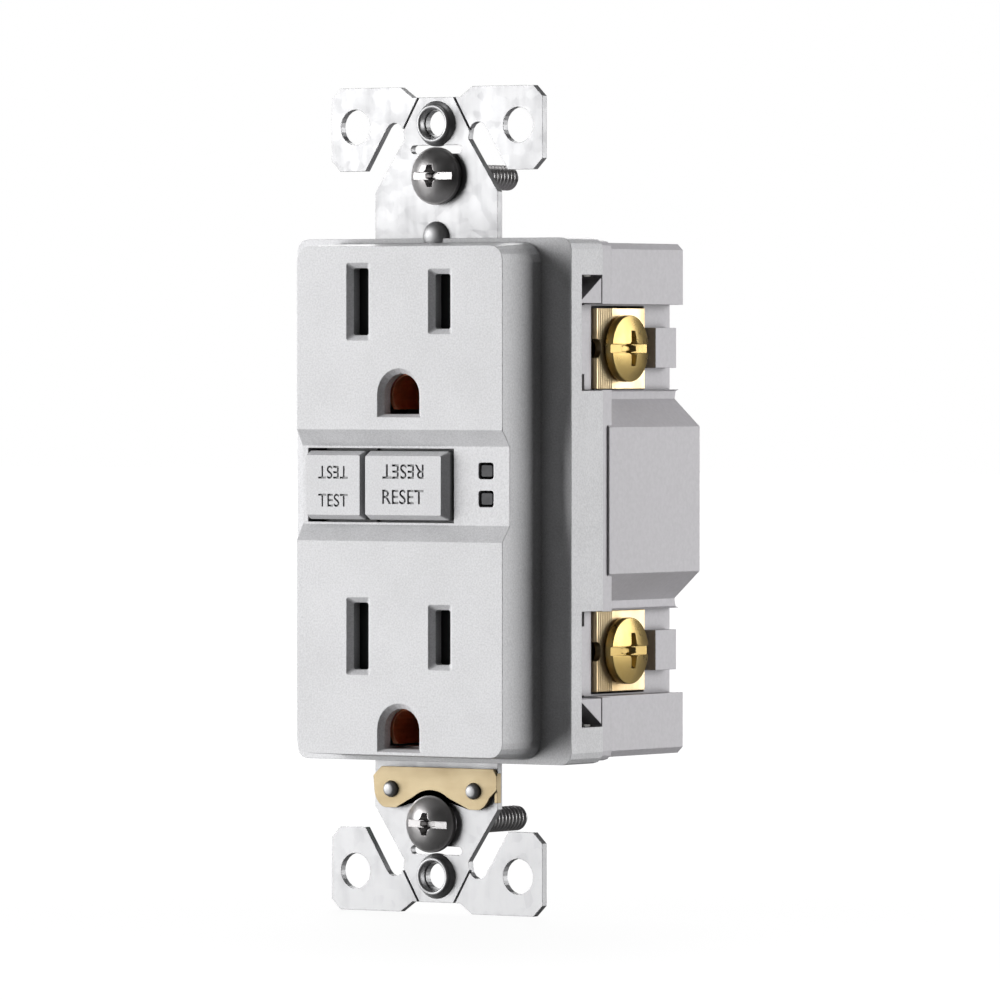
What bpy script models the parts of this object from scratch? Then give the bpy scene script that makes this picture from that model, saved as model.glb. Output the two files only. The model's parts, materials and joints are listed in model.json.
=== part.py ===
"""Ground-fault receptacle for a wall box, modelled piece by piece.

The device stands upright: +X is to its right as the user faces it, +Y goes into the wall and
+Z is up.  The origin is the centre of the mounting strap, on the plane of its back, which is
the plane of the wall.  Sizes below are in millimetres; MM turns them into metres.
"""

import math

import bmesh
import bpy
from mathutils import Matrix, Vector

MM = 0.001
GAP = 0.3                      # clearance between pieces that would touch

# Mounting strap and its fasteners
STRAP_THICK = 1.0
STRAP_HALF_W = 9.525
BRIDGE_HALF_W = 4.6            # narrow part of the strap, between the blade slots
EAR_HALF_W = 16.4
EAR_TOP = 53.15
EAR_BOTTOM = 42.4
EAR_CHAMFER = 1.4
EAR_HOLE_X = 12.65
EAR_HOLE_Z = 48.1
EAR_HOLE_R = 2.3
PLATE_SCREW_Z = 48.41          # wall-plate screw holes, 96.8 apart
PLATE_SCREW_R = 1.65
COLLAR_R = 2.5
MOUNT_SCREW_Z = 41.67          # box screws, 83.3 apart
MOUNT_HEAD_R = 3.7
MOUNT_HEAD_H = 2.2
MOUNT_SHANK_R = 1.65
MOUNT_LENGTH = 19.0

# Front cover
FACE_Y = -9.5
FACE_HALF_W = 15.95
FACE_HALF_H = 32.6
BASE_HALF_W = 16.7             # foot of the face block, where it meets the flange
BASE_HALF_H = 33.1
FLANGE_Y = -1.7
FLANGE_HALF_W = 21.3
FLANGE_HALF_H = 33.65
SKIRT_BACK = 5.6
BAND_Z = 1.95                  # centre of the recessed band that holds the buttons
BAND_HALF_H = 5.05
BAND_SLOPE_HALF_H = 7.15
BAND_Y = -8.0

# Outlets
OUTLET_Z = (25.5, -17.4)       # centres of the two pairs of blade slots
SLOT_X = 6.35
SLOT_HALF_W = 1.15
NEUTRAL_HALF_H = 4.3
HOT_HALF_H = 3.5
SLOT_CHAMFER = 0.7
GROUND_DROP = 11.9             # ground opening below its blade slots
GROUND_R = 2.7

# Buttons and lights
WINDOW_X = (-15.2, 7.5)
TEST_X = (-14.7, -5.9)
RESET_X = (-5.4, 7.1)
BUTTON_HALF_H = 4.4
BUTTON_Y = -9.3
LIP_Y = -5.8                   # front of the lip that keeps a button in the cover
BUTTON_BACK = -5.1
PIN_X = 0.8
LIGHT_X = 12.46
LIGHT_Z = (3.9, 0.33)
LIGHT_HALF = 0.85

# Rear housing and terminals
RIM_BACK = 8.1
HOUSING_BACK = 28.5
FLOOR_THICK = 1.5
WELL_Z = (14.2, 25.2)
WELL_FLOOR_X = 16.65
BLOCK_HALF_W = 18.7            # the blocks at the two ends
BLOCK_HALF_H = 33.1
TERMINAL_Y = 16.1
TERMINAL_Z = 19.5
PLATE_OUT_X = 17.2             # outer face of the pressure plates
TERMINAL_HEAD_R = 4.3
TERMINAL_HEAD_H = 1.8
TERMINAL_SHANK_R = 2.0
CORNER_X = 15.2                # the four housing screws
CORNER_Z = 29.0

ROUND = 24                     # sides of a visible round piece
SMALL_ROUND = 12               # sides of a small or hidden round piece

for leftover in list(bpy.data.objects):
    bpy.data.objects.remove(leftover)

device = bpy.data.collections.new("gfci_outlet")
cutters = bpy.data.collections.new("cutters")
for group in (device, cutters):
    bpy.context.scene.collection.children.link(group)


def make_material(name, colour, roughness, metallic):
    """A Principled BSDF with one colour, roughness and metallic value."""
    material = bpy.data.materials.new(name)
    material.use_nodes = True
    shader = material.node_tree.nodes["Principled BSDF"]
    shader.inputs["Base Color"].default_value = (*colour, 1.0)
    shader.inputs["Roughness"].default_value = roughness
    shader.inputs["Metallic"].default_value = metallic
    material.diffuse_color = (*colour, 1.0)
    return material


COVER_GREY = make_material("cover_grey", (0.62, 0.62, 0.64), 0.45, 0.0)
HOUSING_GREY = make_material("housing_grey", (0.52, 0.51, 0.53), 0.5, 0.0)
DARK_PLASTIC = make_material("dark_plastic", (0.03, 0.03, 0.035), 0.5, 0.0)
STEEL = make_material("zinc_steel", (0.72, 0.72, 0.71), 0.3, 1.0)
BRASS = make_material("brass", (0.78, 0.6, 0.3), 0.3, 1.0)
NICKEL = make_material("nickel", (0.7, 0.68, 0.64), 0.3, 1.0)
COPPER = make_material("copper", (0.72, 0.36, 0.2), 0.35, 1.0)
GREEN = make_material("green_screw", (0.05, 0.3, 0.12), 0.4, 1.0)
BOARD = make_material("board", (0.02, 0.12, 0.05), 0.5, 0.0)
CLEAR = make_material("light_pipe", (0.6, 0.6, 0.6), 0.15, 0.0)
ENAMEL = make_material("enamelled_wire", (0.4, 0.12, 0.04), 0.35, 0.6)
WHITE_PLASTIC = make_material("white_plastic", (0.75, 0.75, 0.72), 0.5, 0.0)
BLUE = make_material("blue_component", (0.03, 0.12, 0.4), 0.4, 0.0)


def add_mesh(name, bm, material, group=device, smooth=False):
    """Put a bmesh, given in millimetres, into a new object."""
    bmesh.ops.scale(bm, vec=(MM, MM, MM), verts=bm.verts)
    bmesh.ops.recalc_face_normals(bm, faces=bm.faces)
    mesh = bpy.data.meshes.new(name)
    bm.to_mesh(mesh)
    bm.free()
    mesh.materials.append(material)
    if smooth:
        mesh.shade_smooth()
        mesh.set_sharp_from_angle(angle=math.radians(35))
    obj = bpy.data.objects.new(name, mesh)
    group.objects.link(obj)
    if group is cutters:
        obj.hide_render = True
        obj.display_type = "WIRE"
    return obj


def box(name, x, y, z, material=STEEL, group=device):
    """A block between two limits on each axis."""
    bm = bmesh.new()
    bmesh.ops.create_cube(bm, size=1.0)
    size = (x[1] - x[0], y[1] - y[0], z[1] - z[0])
    centre = ((x[0] + x[1]) / 2, (y[0] + y[1]) / 2, (z[0] + z[1]) / 2)
    bmesh.ops.scale(bm, vec=size, verts=bm.verts)
    bmesh.ops.translate(bm, vec=centre, verts=bm.verts)
    return add_mesh(name, bm, material, group)


AXIS_TURN = {
    "X": Matrix.Rotation(math.radians(90), 3, "Y"),
    "Y": Matrix.Rotation(math.radians(-90), 3, "X"),
    "Z": Matrix.Identity(3),
}


def cone(name, axis, centre, radii, span, material=STEEL, group=device, sides=ROUND):
    """A cylinder or cone along an axis: radii at the two ends of the span on that axis."""
    bm = bmesh.new()
    bmesh.ops.create_cone(bm, cap_ends=True, segments=sides, radius1=radii[0],
                          radius2=radii[1], depth=span[1] - span[0])
    bmesh.ops.rotate(bm, cent=(0, 0, 0), matrix=AXIS_TURN[axis], verts=bm.verts)
    place = Vector(centre)
    place["XYZ".index(axis)] = (span[0] + span[1]) / 2
    bmesh.ops.translate(bm, vec=place, verts=bm.verts)
    return add_mesh(name, bm, material, group, smooth=True)


def rod(name, axis, centre, radius, span, material=STEEL, group=device, sides=ROUND):
    """A cylinder along an axis."""
    return cone(name, axis, centre, (radius, radius), span, material, group, sides)


def slab(name, outline, axis, span, material=STEEL, group=device):
    """A flat outline given in the plane across an axis, thick over a span of that axis.

    The outline is a filled 2D curve, extruded and made a mesh with its caps welded.
    Its coordinates are (x, z) across Y, (y, z) across X and (x, y) across Z.
    """
    curve = bpy.data.curves.new(name, "CURVE")
    curve.dimensions = "2D"
    curve.fill_mode = "BOTH"
    curve.extrude = (span[1] - span[0]) / 2
    spline = curve.splines.new("POLY")
    spline.points.add(len(outline) - 1)
    for point, (u, v) in zip(spline.points, outline):
        point.co = (u, v, 0.0, 1.0)
    spline.use_cyclic_u = True
    flat = bpy.data.objects.new(name + "_outline", curve)
    bpy.context.scene.collection.objects.link(flat)
    bpy.context.view_layer.update()
    evaluated = flat.evaluated_get(bpy.context.evaluated_depsgraph_get())
    mesh = bpy.data.meshes.new_from_object(evaluated)
    bpy.data.objects.remove(flat)
    bm = bmesh.new()
    bm.from_mesh(mesh)
    bpy.data.meshes.remove(mesh)
    bmesh.ops.remove_doubles(bm, verts=bm.verts, dist=1e-4)
    bmesh.ops.dissolve_limit(bm, angle_limit=math.radians(0.5), verts=bm.verts, edges=bm.edges)
    middle = (span[0] + span[1]) / 2
    for vert in bm.verts:
        u, v, w = vert.co
        vert.co = {"X": (middle + w, u, v), "Y": (u, middle + w, v), "Z": (u, v, middle + w)}[axis]
    return add_mesh(name, bm, material, group)


def modify(obj, cutter, operation):
    """Add a Boolean modifier; the cutter moves to the cutters' collection."""
    if cutter.name not in cutters.objects:
        device.objects.unlink(cutter)
        cutters.objects.link(cutter)
        cutter.hide_render = True
        cutter.display_type = "WIRE"
    step = obj.modifiers.new(cutter.name, "BOOLEAN")
    step.operation = operation
    step.solver = "EXACT"
    step.object = cutter


def cut(obj, *tools):
    """Take each tool away from an object."""
    for tool in tools:
        modify(obj, tool, "DIFFERENCE")


def join(obj, *extras):
    """Fuse each extra shape into an object."""
    for extra in extras:
        modify(obj, extra, "UNION")


def set_origin(obj, point):
    """Move an object's origin to a point, in millimetres, leaving its shape in place."""
    place = Vector(point) * MM
    obj.data.transform(Matrix.Translation(-place))
    obj.location = place


def arc(centre, radius, start, end, steps):
    """Points on an arc, with angles in degrees."""
    points = []
    for i in range(steps + 1):
        angle = math.radians(start + (end - start) * i / steps)
        points.append((centre[0] + radius * math.cos(angle), centre[1] + radius * math.sin(angle)))
    return points


def rounded(half_w, half_h, radius, centre=(0.0, 0.0), steps=6):
    """A rectangle with round corners."""
    points = []
    for sx, sz, start in ((1, 1, 0), (-1, 1, 90), (-1, -1, 180), (1, -1, 270)):
        corner = (centre[0] + sx * (half_w - radius), centre[1] + sz * (half_h - radius))
        points += arc(corner, radius, start, start + 90, steps)
    return points


def tapered(name, front, back, front_y, back_y, material, group=device):
    """A block with round corners whose outline changes evenly from front to back."""
    bm = bmesh.new()
    rings = []
    for outline, y in ((front, front_y), (back, back_y)):
        rings.append([bm.verts.new((x, y, z)) for x, z in outline])
    count = len(front)
    for i in range(count):
        j = (i + 1) % count
        bm.faces.new((rings[0][i], rings[0][j], rings[1][j], rings[1][i]))
    bm.faces.new(rings[0])
    bm.faces.new(rings[1])
    return add_mesh(name, bm, material, group)


def coil(name, axis, centre, radius, span, turns, wire, material=STEEL):
    """A round-wire compression spring between two ends on an axis."""
    points_per_turn = 8
    count = int(turns * points_per_turn)
    curve = bpy.data.curves.new(name, "CURVE")
    curve.dimensions = "3D"
    curve.bevel_depth = wire / 2 * MM
    curve.bevel_resolution = 0
    curve.use_fill_caps = True
    spline = curve.splines.new("POLY")
    spline.points.add(count)
    turn = AXIS_TURN[axis]
    length = span[1] - span[0] - wire
    base = Vector(centre)
    base["XYZ".index(axis)] = span[0] + wire / 2
    for i, point in enumerate(spline.points):
        angle = 2 * math.pi * i / points_per_turn
        local = Vector((radius * math.cos(angle), radius * math.sin(angle), length * i / count))
        point.co = (*((base + turn @ local) * MM), 1.0)
    curve.materials.append(material)
    obj = bpy.data.objects.new(name, curve)
    device.objects.link(obj)
    return obj


def mirrored(points):
    """The same outline points on the other side, in reverse order."""
    return [(-x, z) for x, z in reversed(points)]


def build_strap():
    """Steel strap: ears that break off, screw holes, a narrow bridge and a ground tab."""
    slot_end = arc((6.5, 47.2), 1.4, 180, 32, 6)
    right = [(BRIDGE_HALF_W, 29.5), (STRAP_HALF_W, 31.5), (STRAP_HALF_W, 39.6), (5.0, 46.4)]
    right += slot_end
    right += [(11.1, EAR_BOTTOM), (EAR_HALF_W - EAR_CHAMFER, EAR_BOTTOM),
              (EAR_HALF_W, EAR_BOTTOM + EAR_CHAMFER), (EAR_HALF_W, EAR_TOP - EAR_CHAMFER),
              (EAR_HALF_W - EAR_CHAMFER, EAR_TOP), (5.6, EAR_TOP), (3.7, 51.8)]
    top = right + mirrored(right)
    bottom = [(-x, -z) for x, z in top]
    strap = slab("strap", top + bottom, "Y", (-STRAP_THICK, 0.0), STEEL)
    through = (-3.5, 1.0)
    collar_front = -STRAP_THICK - 1.0
    for side, sign in (("upper", 1), ("lower", -1)):
        hole = (0.0, 0.0, sign * PLATE_SCREW_Z)
        join(strap, rod(side + "_collar", "Y", hole, COLLAR_R, (collar_front, -0.5)))
        cut(strap, rod(side + "_plate_hole", "Y", hole, PLATE_SCREW_R, through, group=cutters))
        cut(strap, slab(side + "_mount_slot",
                        rounded(3.2, 2.1, 2.09, (0.0, sign * MOUNT_SCREW_Z)),
                        "Y", through, group=cutters))
        cut(strap, slab(side + "_narrow_slot", rounded(3.95, 0.55, 0.5, (0.0, sign * 45.1), 3),
                        "Y", through, group=cutters))
        for x in (-EAR_HOLE_X, EAR_HOLE_X):
            cut(strap, rod(f"{side}_ear_hole_{x:.0f}", "Y", (x, 0, sign * EAR_HOLE_Z), EAR_HOLE_R,
                           through, group=cutters))
    join(strap, slab("bump", arc((0.0, -0.9), 1.95, 180, 360, 10), "Z", (33.95, 35.4)))
    for z in OUTLET_Z:
        cut(strap, rod(f"ground_passage_{z:.0f}", "Y", (0, 0, z - GROUND_DROP), 3.4, through,
                       group=cutters, sides=SMALL_ROUND))
    cut(strap, rod("pin_passage", "Y", (PIN_X, 0, BAND_Z), 1.6, through, group=cutters,
                   sides=SMALL_ROUND))
    tab = box("ground_tab", (-STRAP_HALF_W, -STRAP_HALF_W + STRAP_THICK), (-0.5, 9.0),
              (-39.5, -34.2))
    cut(tab, rod("tab_hole", "X", (0, 5.0, -37.0), 2.3, (-12, -6), group=cutters))
    join(strap, tab)


def build_grounding_clip():
    """Thin brass clip on the strap's lower end that wipes the box screw and the box."""
    thick = 0.5
    front = -STRAP_THICK - GAP - thick
    right = STRAP_HALF_W + GAP
    profile = [(-9.3, front), (right, front), (right + thick, front + thick), (right + thick, 2.5),
               (right, 2.5), (right, front + thick), (-9.3, front + thick)]
    clip = slab("grounding_clip", profile, "Z", (-39.7, -34.4), BRASS)
    cut(clip, rod("clip_scallop", "Y", (-0.35, 0, -MOUNT_SCREW_Z), 4.3, (-5, 1), group=cutters))
    for side, x in (("left", -6.5), ("right", 6.3)):
        centre = (x, 0.0, -37.3)
        cut(clip, rod(side + "_clip_hole", "Y", centre, 1.0, (-5, 1), group=cutters,
                      sides=SMALL_ROUND))
        cut(bpy.data.objects["strap"], rod(side + "_strap_hole", "Y", centre, 1.0, (-1.9, 1),
                                           group=cutters, sides=SMALL_ROUND))
        rivet = cone(side + "_clip_rivet", "Y", centre, (0.75, 1.35),
                     (front - GAP - 0.45, front - GAP), BRASS, sides=SMALL_ROUND)
        join(rivet, rod(side + "_rivet_shank", "Y", centre, 0.7, (front - GAP - 0.1, 0.4), BRASS,
                        sides=SMALL_ROUND))
        join(rivet, rod(side + "_rivet_tail", "Y", centre, 1.3, (GAP, 0.8), BRASS,
                        sides=SMALL_ROUND))


def domed_screw(name, axis, centre, direction, head, shank, slot, material):
    """A screw along an axis: a domed head of (radius, height) whose back is at the centre.

    direction is the sign of the way the head faces; shank is (radius, length); slot is the
    slot's half width, or None for a plain head.
    """
    index = "XYZ".index(axis)
    base = centre[index]
    spread = sorted((base, base + direction * head[1] * 0.45))
    crown = sorted((base + direction * head[1] * 0.45, base + direction * head[1]))
    wide, narrow = head[0], head[0] * 0.6
    screw = rod(name, axis, centre, head[0], spread, material)
    dome = cone(name + "_dome", axis, centre, (wide, narrow) if direction > 0 else (narrow, wide),
                (crown[0] - 0.05, crown[1]) if direction > 0 else (crown[0], crown[1] + 0.05),
                material)
    tip = base - direction * shank[1]
    stem = rod(name + "_shank", axis, centre, shank[0],
               sorted((tip, base + direction * 0.2)), material, sides=SMALL_ROUND)
    join(screw, dome, stem)
    if slot is not None:
        limits = [[c - head[0] - 1, c + head[0] + 1] for c in centre]
        limits[index] = sorted((base + direction * head[1] * 0.5, base + direction * 9.0))
        limits[2 if axis != "Z" else 1] = [centre[2] - slot, centre[2] + slot]
        cut(screw, box(name + "_slot", *limits, group=cutters))
    set_origin(screw, centre)
    return screw


def build_screws():
    """Box screws, the green ground screw and the four screws that close the housing."""
    for side, x, z in (("upper", 0.45, MOUNT_SCREW_Z), ("lower", -0.35, -MOUNT_SCREW_Z)):
        domed_screw(side + "_mounting_screw", "Y", (x, -STRAP_THICK - GAP, z), -1,
                    (MOUNT_HEAD_R, MOUNT_HEAD_H), (MOUNT_SHANK_R, MOUNT_LENGTH), 0.5, STEEL)
    domed_screw("ground_screw", "X", (-STRAP_HALF_W - GAP, 5.0, -37.0), -1, (3.0, 2.0),
                (1.95, 6.5), 0.5, GREEN)
    for x_name, x in (("left", -CORNER_X), ("right", CORNER_X)):
        for z_name, z in (("upper", CORNER_Z), ("lower", -CORNER_Z)):
            domed_screw(f"{z_name}_{x_name}_housing_screw", "Y", (x, 26.3, z), 1, (2.3, 1.6),
                        (1.1, 25.0), 0.35, STEEL)


def slot_openings(cover):
    """Cut both outlets: chamfered blade slots and the ground openings with a flat bottom."""
    deep = (FACE_Y - 1, FACE_Y + 4)
    for z in OUTLET_Z:
        for side, half_h in ((-1, NEUTRAL_HALF_H), (1, HOT_HALF_H)):
            centre = (side * SLOT_X, z)
            inner = rounded(SLOT_HALF_W, half_h, 0.2, centre, 1)
            outer = rounded(SLOT_HALF_W + SLOT_CHAMFER, half_h + SLOT_CHAMFER, 0.2, centre, 1)
            label = f"{z:.0f}_{side}"
            cut(cover, slab("blade_slot_" + label, inner, "Y", deep, group=cutters))
            cut(cover, tapered("slot_chamfer_" + label, outer, inner, FACE_Y - 0.02,
                               FACE_Y + SLOT_CHAMFER, STEEL, cutters))
        low = z - GROUND_DROP
        inner = arc((0, low), GROUND_R, 0, 180, 12) + [(-GROUND_R, low - 2.5), (GROUND_R, low - 2.5)]
        wide = GROUND_R + SLOT_CHAMFER
        outer = arc((0, low), wide, 0, 180, 12) + [(-wide, low - 2.9), (wide, low - 2.9)]
        cut(cover, slab(f"ground_opening_{z:.0f}", inner, "Y", deep, group=cutters))
        cut(cover, tapered(f"ground_chamfer_{z:.0f}", outer, inner, FACE_Y - 0.02,
                           FACE_Y + SLOT_CHAMFER, STEEL, cutters))


def build_front_cover():
    """Moulded cover: a raised face with outlets and buttons, on a flange with a skirt."""
    cover = tapered("front_cover", rounded(FACE_HALF_W, FACE_HALF_H, 1.8, steps=4),
                    rounded(BASE_HALF_W, BASE_HALF_H, 2.6, steps=4), FACE_Y, FLANGE_Y + 0.5, COVER_GREY)
    join(cover, slab("flange", rounded(FLANGE_HALF_W, FLANGE_HALF_H, 1.5, steps=3), "Y",
                     (FLANGE_Y, SKIRT_BACK), COVER_GREY))
    inner_w = 14.3
    inner_h = 31.5
    half_wide = FLANGE_HALF_W + 2
    cut(cover, box("cavity_front", (-inner_w, inner_w), (-6.2, 0.5), (-inner_h, inner_h),
                   group=cutters))
    cut(cover, box("cavity_upper", (-inner_w, inner_w), (-7.5, -6.0), (BAND_Z + 8.35, inner_h),
                   group=cutters))
    cut(cover, box("cavity_lower", (-inner_w, inner_w), (-7.5, -6.0), (-inner_h, BAND_Z - 8.35),
                   group=cutters))
    cut(cover, box("cavity_back", (-19.7, 19.7), (-0.1, SKIRT_BACK + 1), (-32.1, 32.1),
                   group=cutters))
    cut(cover, box("strap_passage", (-STRAP_HALF_W - GAP, STRAP_HALF_W + GAP), (-1.3, GAP),
                   (-36, 36), group=cutters))
    band = [(FACE_Y - 0.5, BAND_Z + BAND_SLOPE_HALF_H + 0.7), (BAND_Y, BAND_Z + BAND_HALF_H),
            (BAND_Y, BAND_Z - BAND_HALF_H), (FACE_Y - 0.5, BAND_Z - BAND_SLOPE_HALF_H - 0.7)]
    cut(cover, slab("band", band, "X", (-half_wide, half_wide), group=cutters))
    cut(cover, box("button_window", WINDOW_X, (-12, -3.9), (BAND_Z - 4.75, BAND_Z + 4.75),
                   group=cutters))
    for z in LIGHT_Z:
        cut(cover, slab(f"light_window_{z:.0f}", rounded(1.15, 1.05, 0.35, (LIGHT_X, z), 3), "Y",
                        (-10, -5), group=cutters))
    slot_openings(cover)
    for sx in (-1, 1):
        for sz in (-1, 1):
            limits = sorted((sz * 14.1, sz * 28.9))
            side = sorted((sx * 16.9, sx * half_wide))
            cut(cover, box(f"well_notch_{sx}_{sz}", side, (0.7, SKIRT_BACK + 1), limits,
                           group=cutters))
            post = rod(f"post_{sx}_{sz}", "Y", (sx * CORNER_X, 0, sz * CORNER_Z), 2.5,
                       (-0.5, SKIRT_BACK - 0.1), COVER_GREY, sides=SMALL_ROUND)
            join(cover, post)
            cut(cover, rod(f"post_hole_{sx}_{sz}", "Y", (sx * CORNER_X, 0, sz * CORNER_Z), 1.5,
                           (0.8, SKIRT_BACK + 1), group=cutters, sides=SMALL_ROUND))


def wall_outline():
    """Outline of the rear housing seen from behind, without the terminal wells."""
    right = [(BLOCK_HALF_W - 0.8, BLOCK_HALF_H), (BLOCK_HALF_W, BLOCK_HALF_H - 0.8),
             (BLOCK_HALF_W, WELL_Z[0] + 0.3), (17.6, WELL_Z[0] - 0.2), (17.4, 13.0),
             (FLANGE_HALF_W, 9.4)]
    half = right + [(x, -z) for x, z in reversed(right)]
    return half + [(-x, z) for x, z in reversed(half)]


def build_rear_housing():
    """Moulded rear housing with four terminal wells, screw posts and wire holes."""
    housing = slab("rear_housing", wall_outline(), "Y", (RIM_BACK - 1.0, HOUSING_BACK),
                   HOUSING_GREY)
    join(housing, slab("rim", rounded(FLANGE_HALF_W - 0.3, FLANGE_HALF_H - 0.3, 1.3, steps=3), "Y",
                       (SKIRT_BACK + GAP, RIM_BACK), HOUSING_GREY))
    floor = HOUSING_BACK - FLOOR_THICK
    front = SKIRT_BACK - 1
    cut(housing, box("hollow_rim", (-19.5, 19.5), (front, 8.3), (-31.9, 31.9), group=cutters))
    cut(housing, box("hollow_middle", (-19.7, 19.7), (8.0, floor), (-8.6, 8.6), group=cutters))
    cut(housing, box("hollow_waist", (-15.6, 15.6), (7.9, floor), (-12.7, 12.7), group=cutters))
    cut(housing, box("hollow_core", (-11.2, 11.2), (7.8, floor), (-31.6, 31.6), group=cutters))
    cut(housing, box("hollow_shelf", (-16.0, 16.0), (7.7, 11.0), (-24.8, 24.8), group=cutters))
    cut(housing, box("hollow_ends", (-14.4, 14.4), (7.6, 11.1), (-31.2, 31.2), group=cutters))
    corners = [(sx, sz) for sx in (-1, 1) for sz in (-1, 1)]
    for sx, sz in corners:
        wall_x = sorted((sx * 15.0, sx * (WELL_FLOOR_X + 0.4)))
        join(housing, box(f"well_wall_{sx}_{sz}", wall_x, (0.9, RIM_BACK + 0.6),
                          sorted((sz * 16.2, sz * (WELL_Z[1] - 0.1))), HOUSING_GREY))
        wedge = [(0.9, sz * 25.45), (6.0, sz * 28.7), (6.4, sz * 28.7), (6.4, sz * 25.3),
                 (0.9, sz * 25.3)]
        join(housing, slab(f"wedge_{sx}_{sz}", wedge, "X", sorted((sx * 18.2, sx * 20.9)),
                           HOUSING_GREY))
    for sx, sz in corners:
        cut(housing, box(f"well_{sx}_{sz}", sorted((sx * WELL_FLOOR_X, sx * 24.0)),
                         (-1, HOUSING_BACK + 1), sorted((sz * WELL_Z[0], sz * WELL_Z[1])),
                         group=cutters))
        cut(housing, box(f"pocket_{sx}_{sz}", sorted((sx * 12.4, sx * 17.5)), (9.9, 22.3),
                         sorted((sz * 14.0, sz * 25.0)), group=cutters))
        for offset in (-3.3, 3.3):
            cut(housing, rod(f"wire_hole_{sx}_{sz}_{offset:.0f}", "Y",
                             (sx * 14.9, 0, sz * (TERMINAL_Z + offset)), 1.2,
                             (21, 30), group=cutters, sides=SMALL_ROUND))
        corner = (sx * CORNER_X, 0, sz * CORNER_Z)
        cut(housing, rod(f"screw_bore_{sx}_{sz}", "Y", corner, 1.5, (4, 27), group=cutters,
                         sides=SMALL_ROUND))
        cut(housing, rod(f"head_bore_{sx}_{sz}", "Y", corner, 2.7, (26.0, 30), group=cutters,
                         sides=24))
        join(housing, box(f"nub_{sx}_{sz}", sorted((sx * (WELL_FLOOR_X - 0.5), sx * 18.3)),
                          (22.6, 27.5), sorted((sz * 17.0, sz * 22.2)), HOUSING_GREY))
    for sx in (-1, 1):
        cut(housing, box(f"bus_slot_{sx}", sorted((sx * 10.5, sx * 13.0)), (19.0, 20.6),
                         (17.9, 20.7), group=cutters))


def build_separator():
    """Inner moulding that carries the contacts, between the strap and the circuit board."""
    separator = box("separator", (-14.0, 14.0), (GAP, 10.7), (-30.6, 30.6), WHITE_PLASTIC)
    join(separator, box("separator_flange", (-17.9, 17.9), (6.3, 7.9), (-31.6, 31.6),
                        WHITE_PLASTIC))
    for sx in (-1, 1):
        cut(separator, box(f"contact_pocket_{sx}", sorted((sx * 4.5, sx * 8.3)), (-1, 9.5),
                           (-22.6, 30.7), group=cutters))
        cut(separator, box(f"link_slot_{sx}", sorted((sx * 7.0, sx * 8.2)), (9, 12),
                           (-8.6, -5.9), group=cutters))
        for sz in (-1, 1):
            cut(separator, box(f"well_clearance_{sx}_{sz}", sorted((sx * 14.6, sx * 20.0)),
                               (5, 9), sorted((sz * 13.6, sz * 25.6)), group=cutters))
            cut(separator, rod(f"separator_screw_{sx}_{sz}", "Y",
                               (sx * CORNER_X, 0, sz * CORNER_Z), 1.6, (5, 9), group=cutters,
                               sides=SMALL_ROUND))
            cut(separator, rod(f"post_clearance_{sx}_{sz}", "Y",
                               (sx * CORNER_X, 0, sz * CORNER_Z), 2.9, (-1, 6.2), group=cutters,
                               sides=SMALL_ROUND))
    for z in OUTLET_Z:
        cut(separator, rod(f"ground_pocket_{z:.0f}", "Y", (0, 0, z - GROUND_DROP), 3.5, (-1, 9.5),
                           group=cutters, sides=SMALL_ROUND))
    cut(separator, rod("pin_bore", "Y", (PIN_X, 0, BAND_Z), 1.5, (-1, 12), group=cutters,
                       sides=SMALL_ROUND))
    for z in LIGHT_Z:
        cut(separator, box(f"pipe_bore_{z:.0f}", (LIGHT_X - 1.15, LIGHT_X + 1.15), (-1, 12),
                           (z - 1.15, z + 1.15), group=cutters))


def build_face_contacts():
    """Brass contacts behind the blade slots and copper sleeves behind the ground openings."""
    for sx, name in ((1, "hot_face_contact"), (-1, "neutral_face_contact")):
        rail = sorted((sx * 7.4, sx * 8.0))
        inner = sorted((sx * 4.8, sx * 5.4))
        web = sorted((sx * 4.8, sx * 8.0))
        contact = box(name, rail, (4.5, 9.2), (-22.2, 30.3), BRASS)
        join(contact, box(name + "_link", rail, (8.5, 11.3), (-8.3, -6.2), BRASS))
        for z in OUTLET_Z:
            span = (z - 4.2, z + 4.2)
            label = f"{name}_{z:.0f}"
            join(contact, box(label + "_outer", rail, (1.5, 5.0), span, BRASS))
            join(contact, box(label + "_web", web, (8.6, 9.2), span, BRASS))
            join(contact, box(label + "_inner", inner, (1.5, 9.0), span, BRASS))
    for z, name in zip(OUTLET_Z, ("upper_ground_contact", "lower_ground_contact")):
        centre = (0, 0, z - GROUND_DROP)
        sleeve = rod(name, "Y", centre, 3.05, (-7.2, 4.0), COPPER, sides=24)
        cut(sleeve, rod(name + "_bore", "Y", centre, 2.5, (-9, 9), group=cutters, sides=24))
        cut(sleeve, box(name + "_mouth", (-4, 4), (-9, 9), (centre[2] - 5, centre[2] - 1.9),
                        group=cutters))


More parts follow.
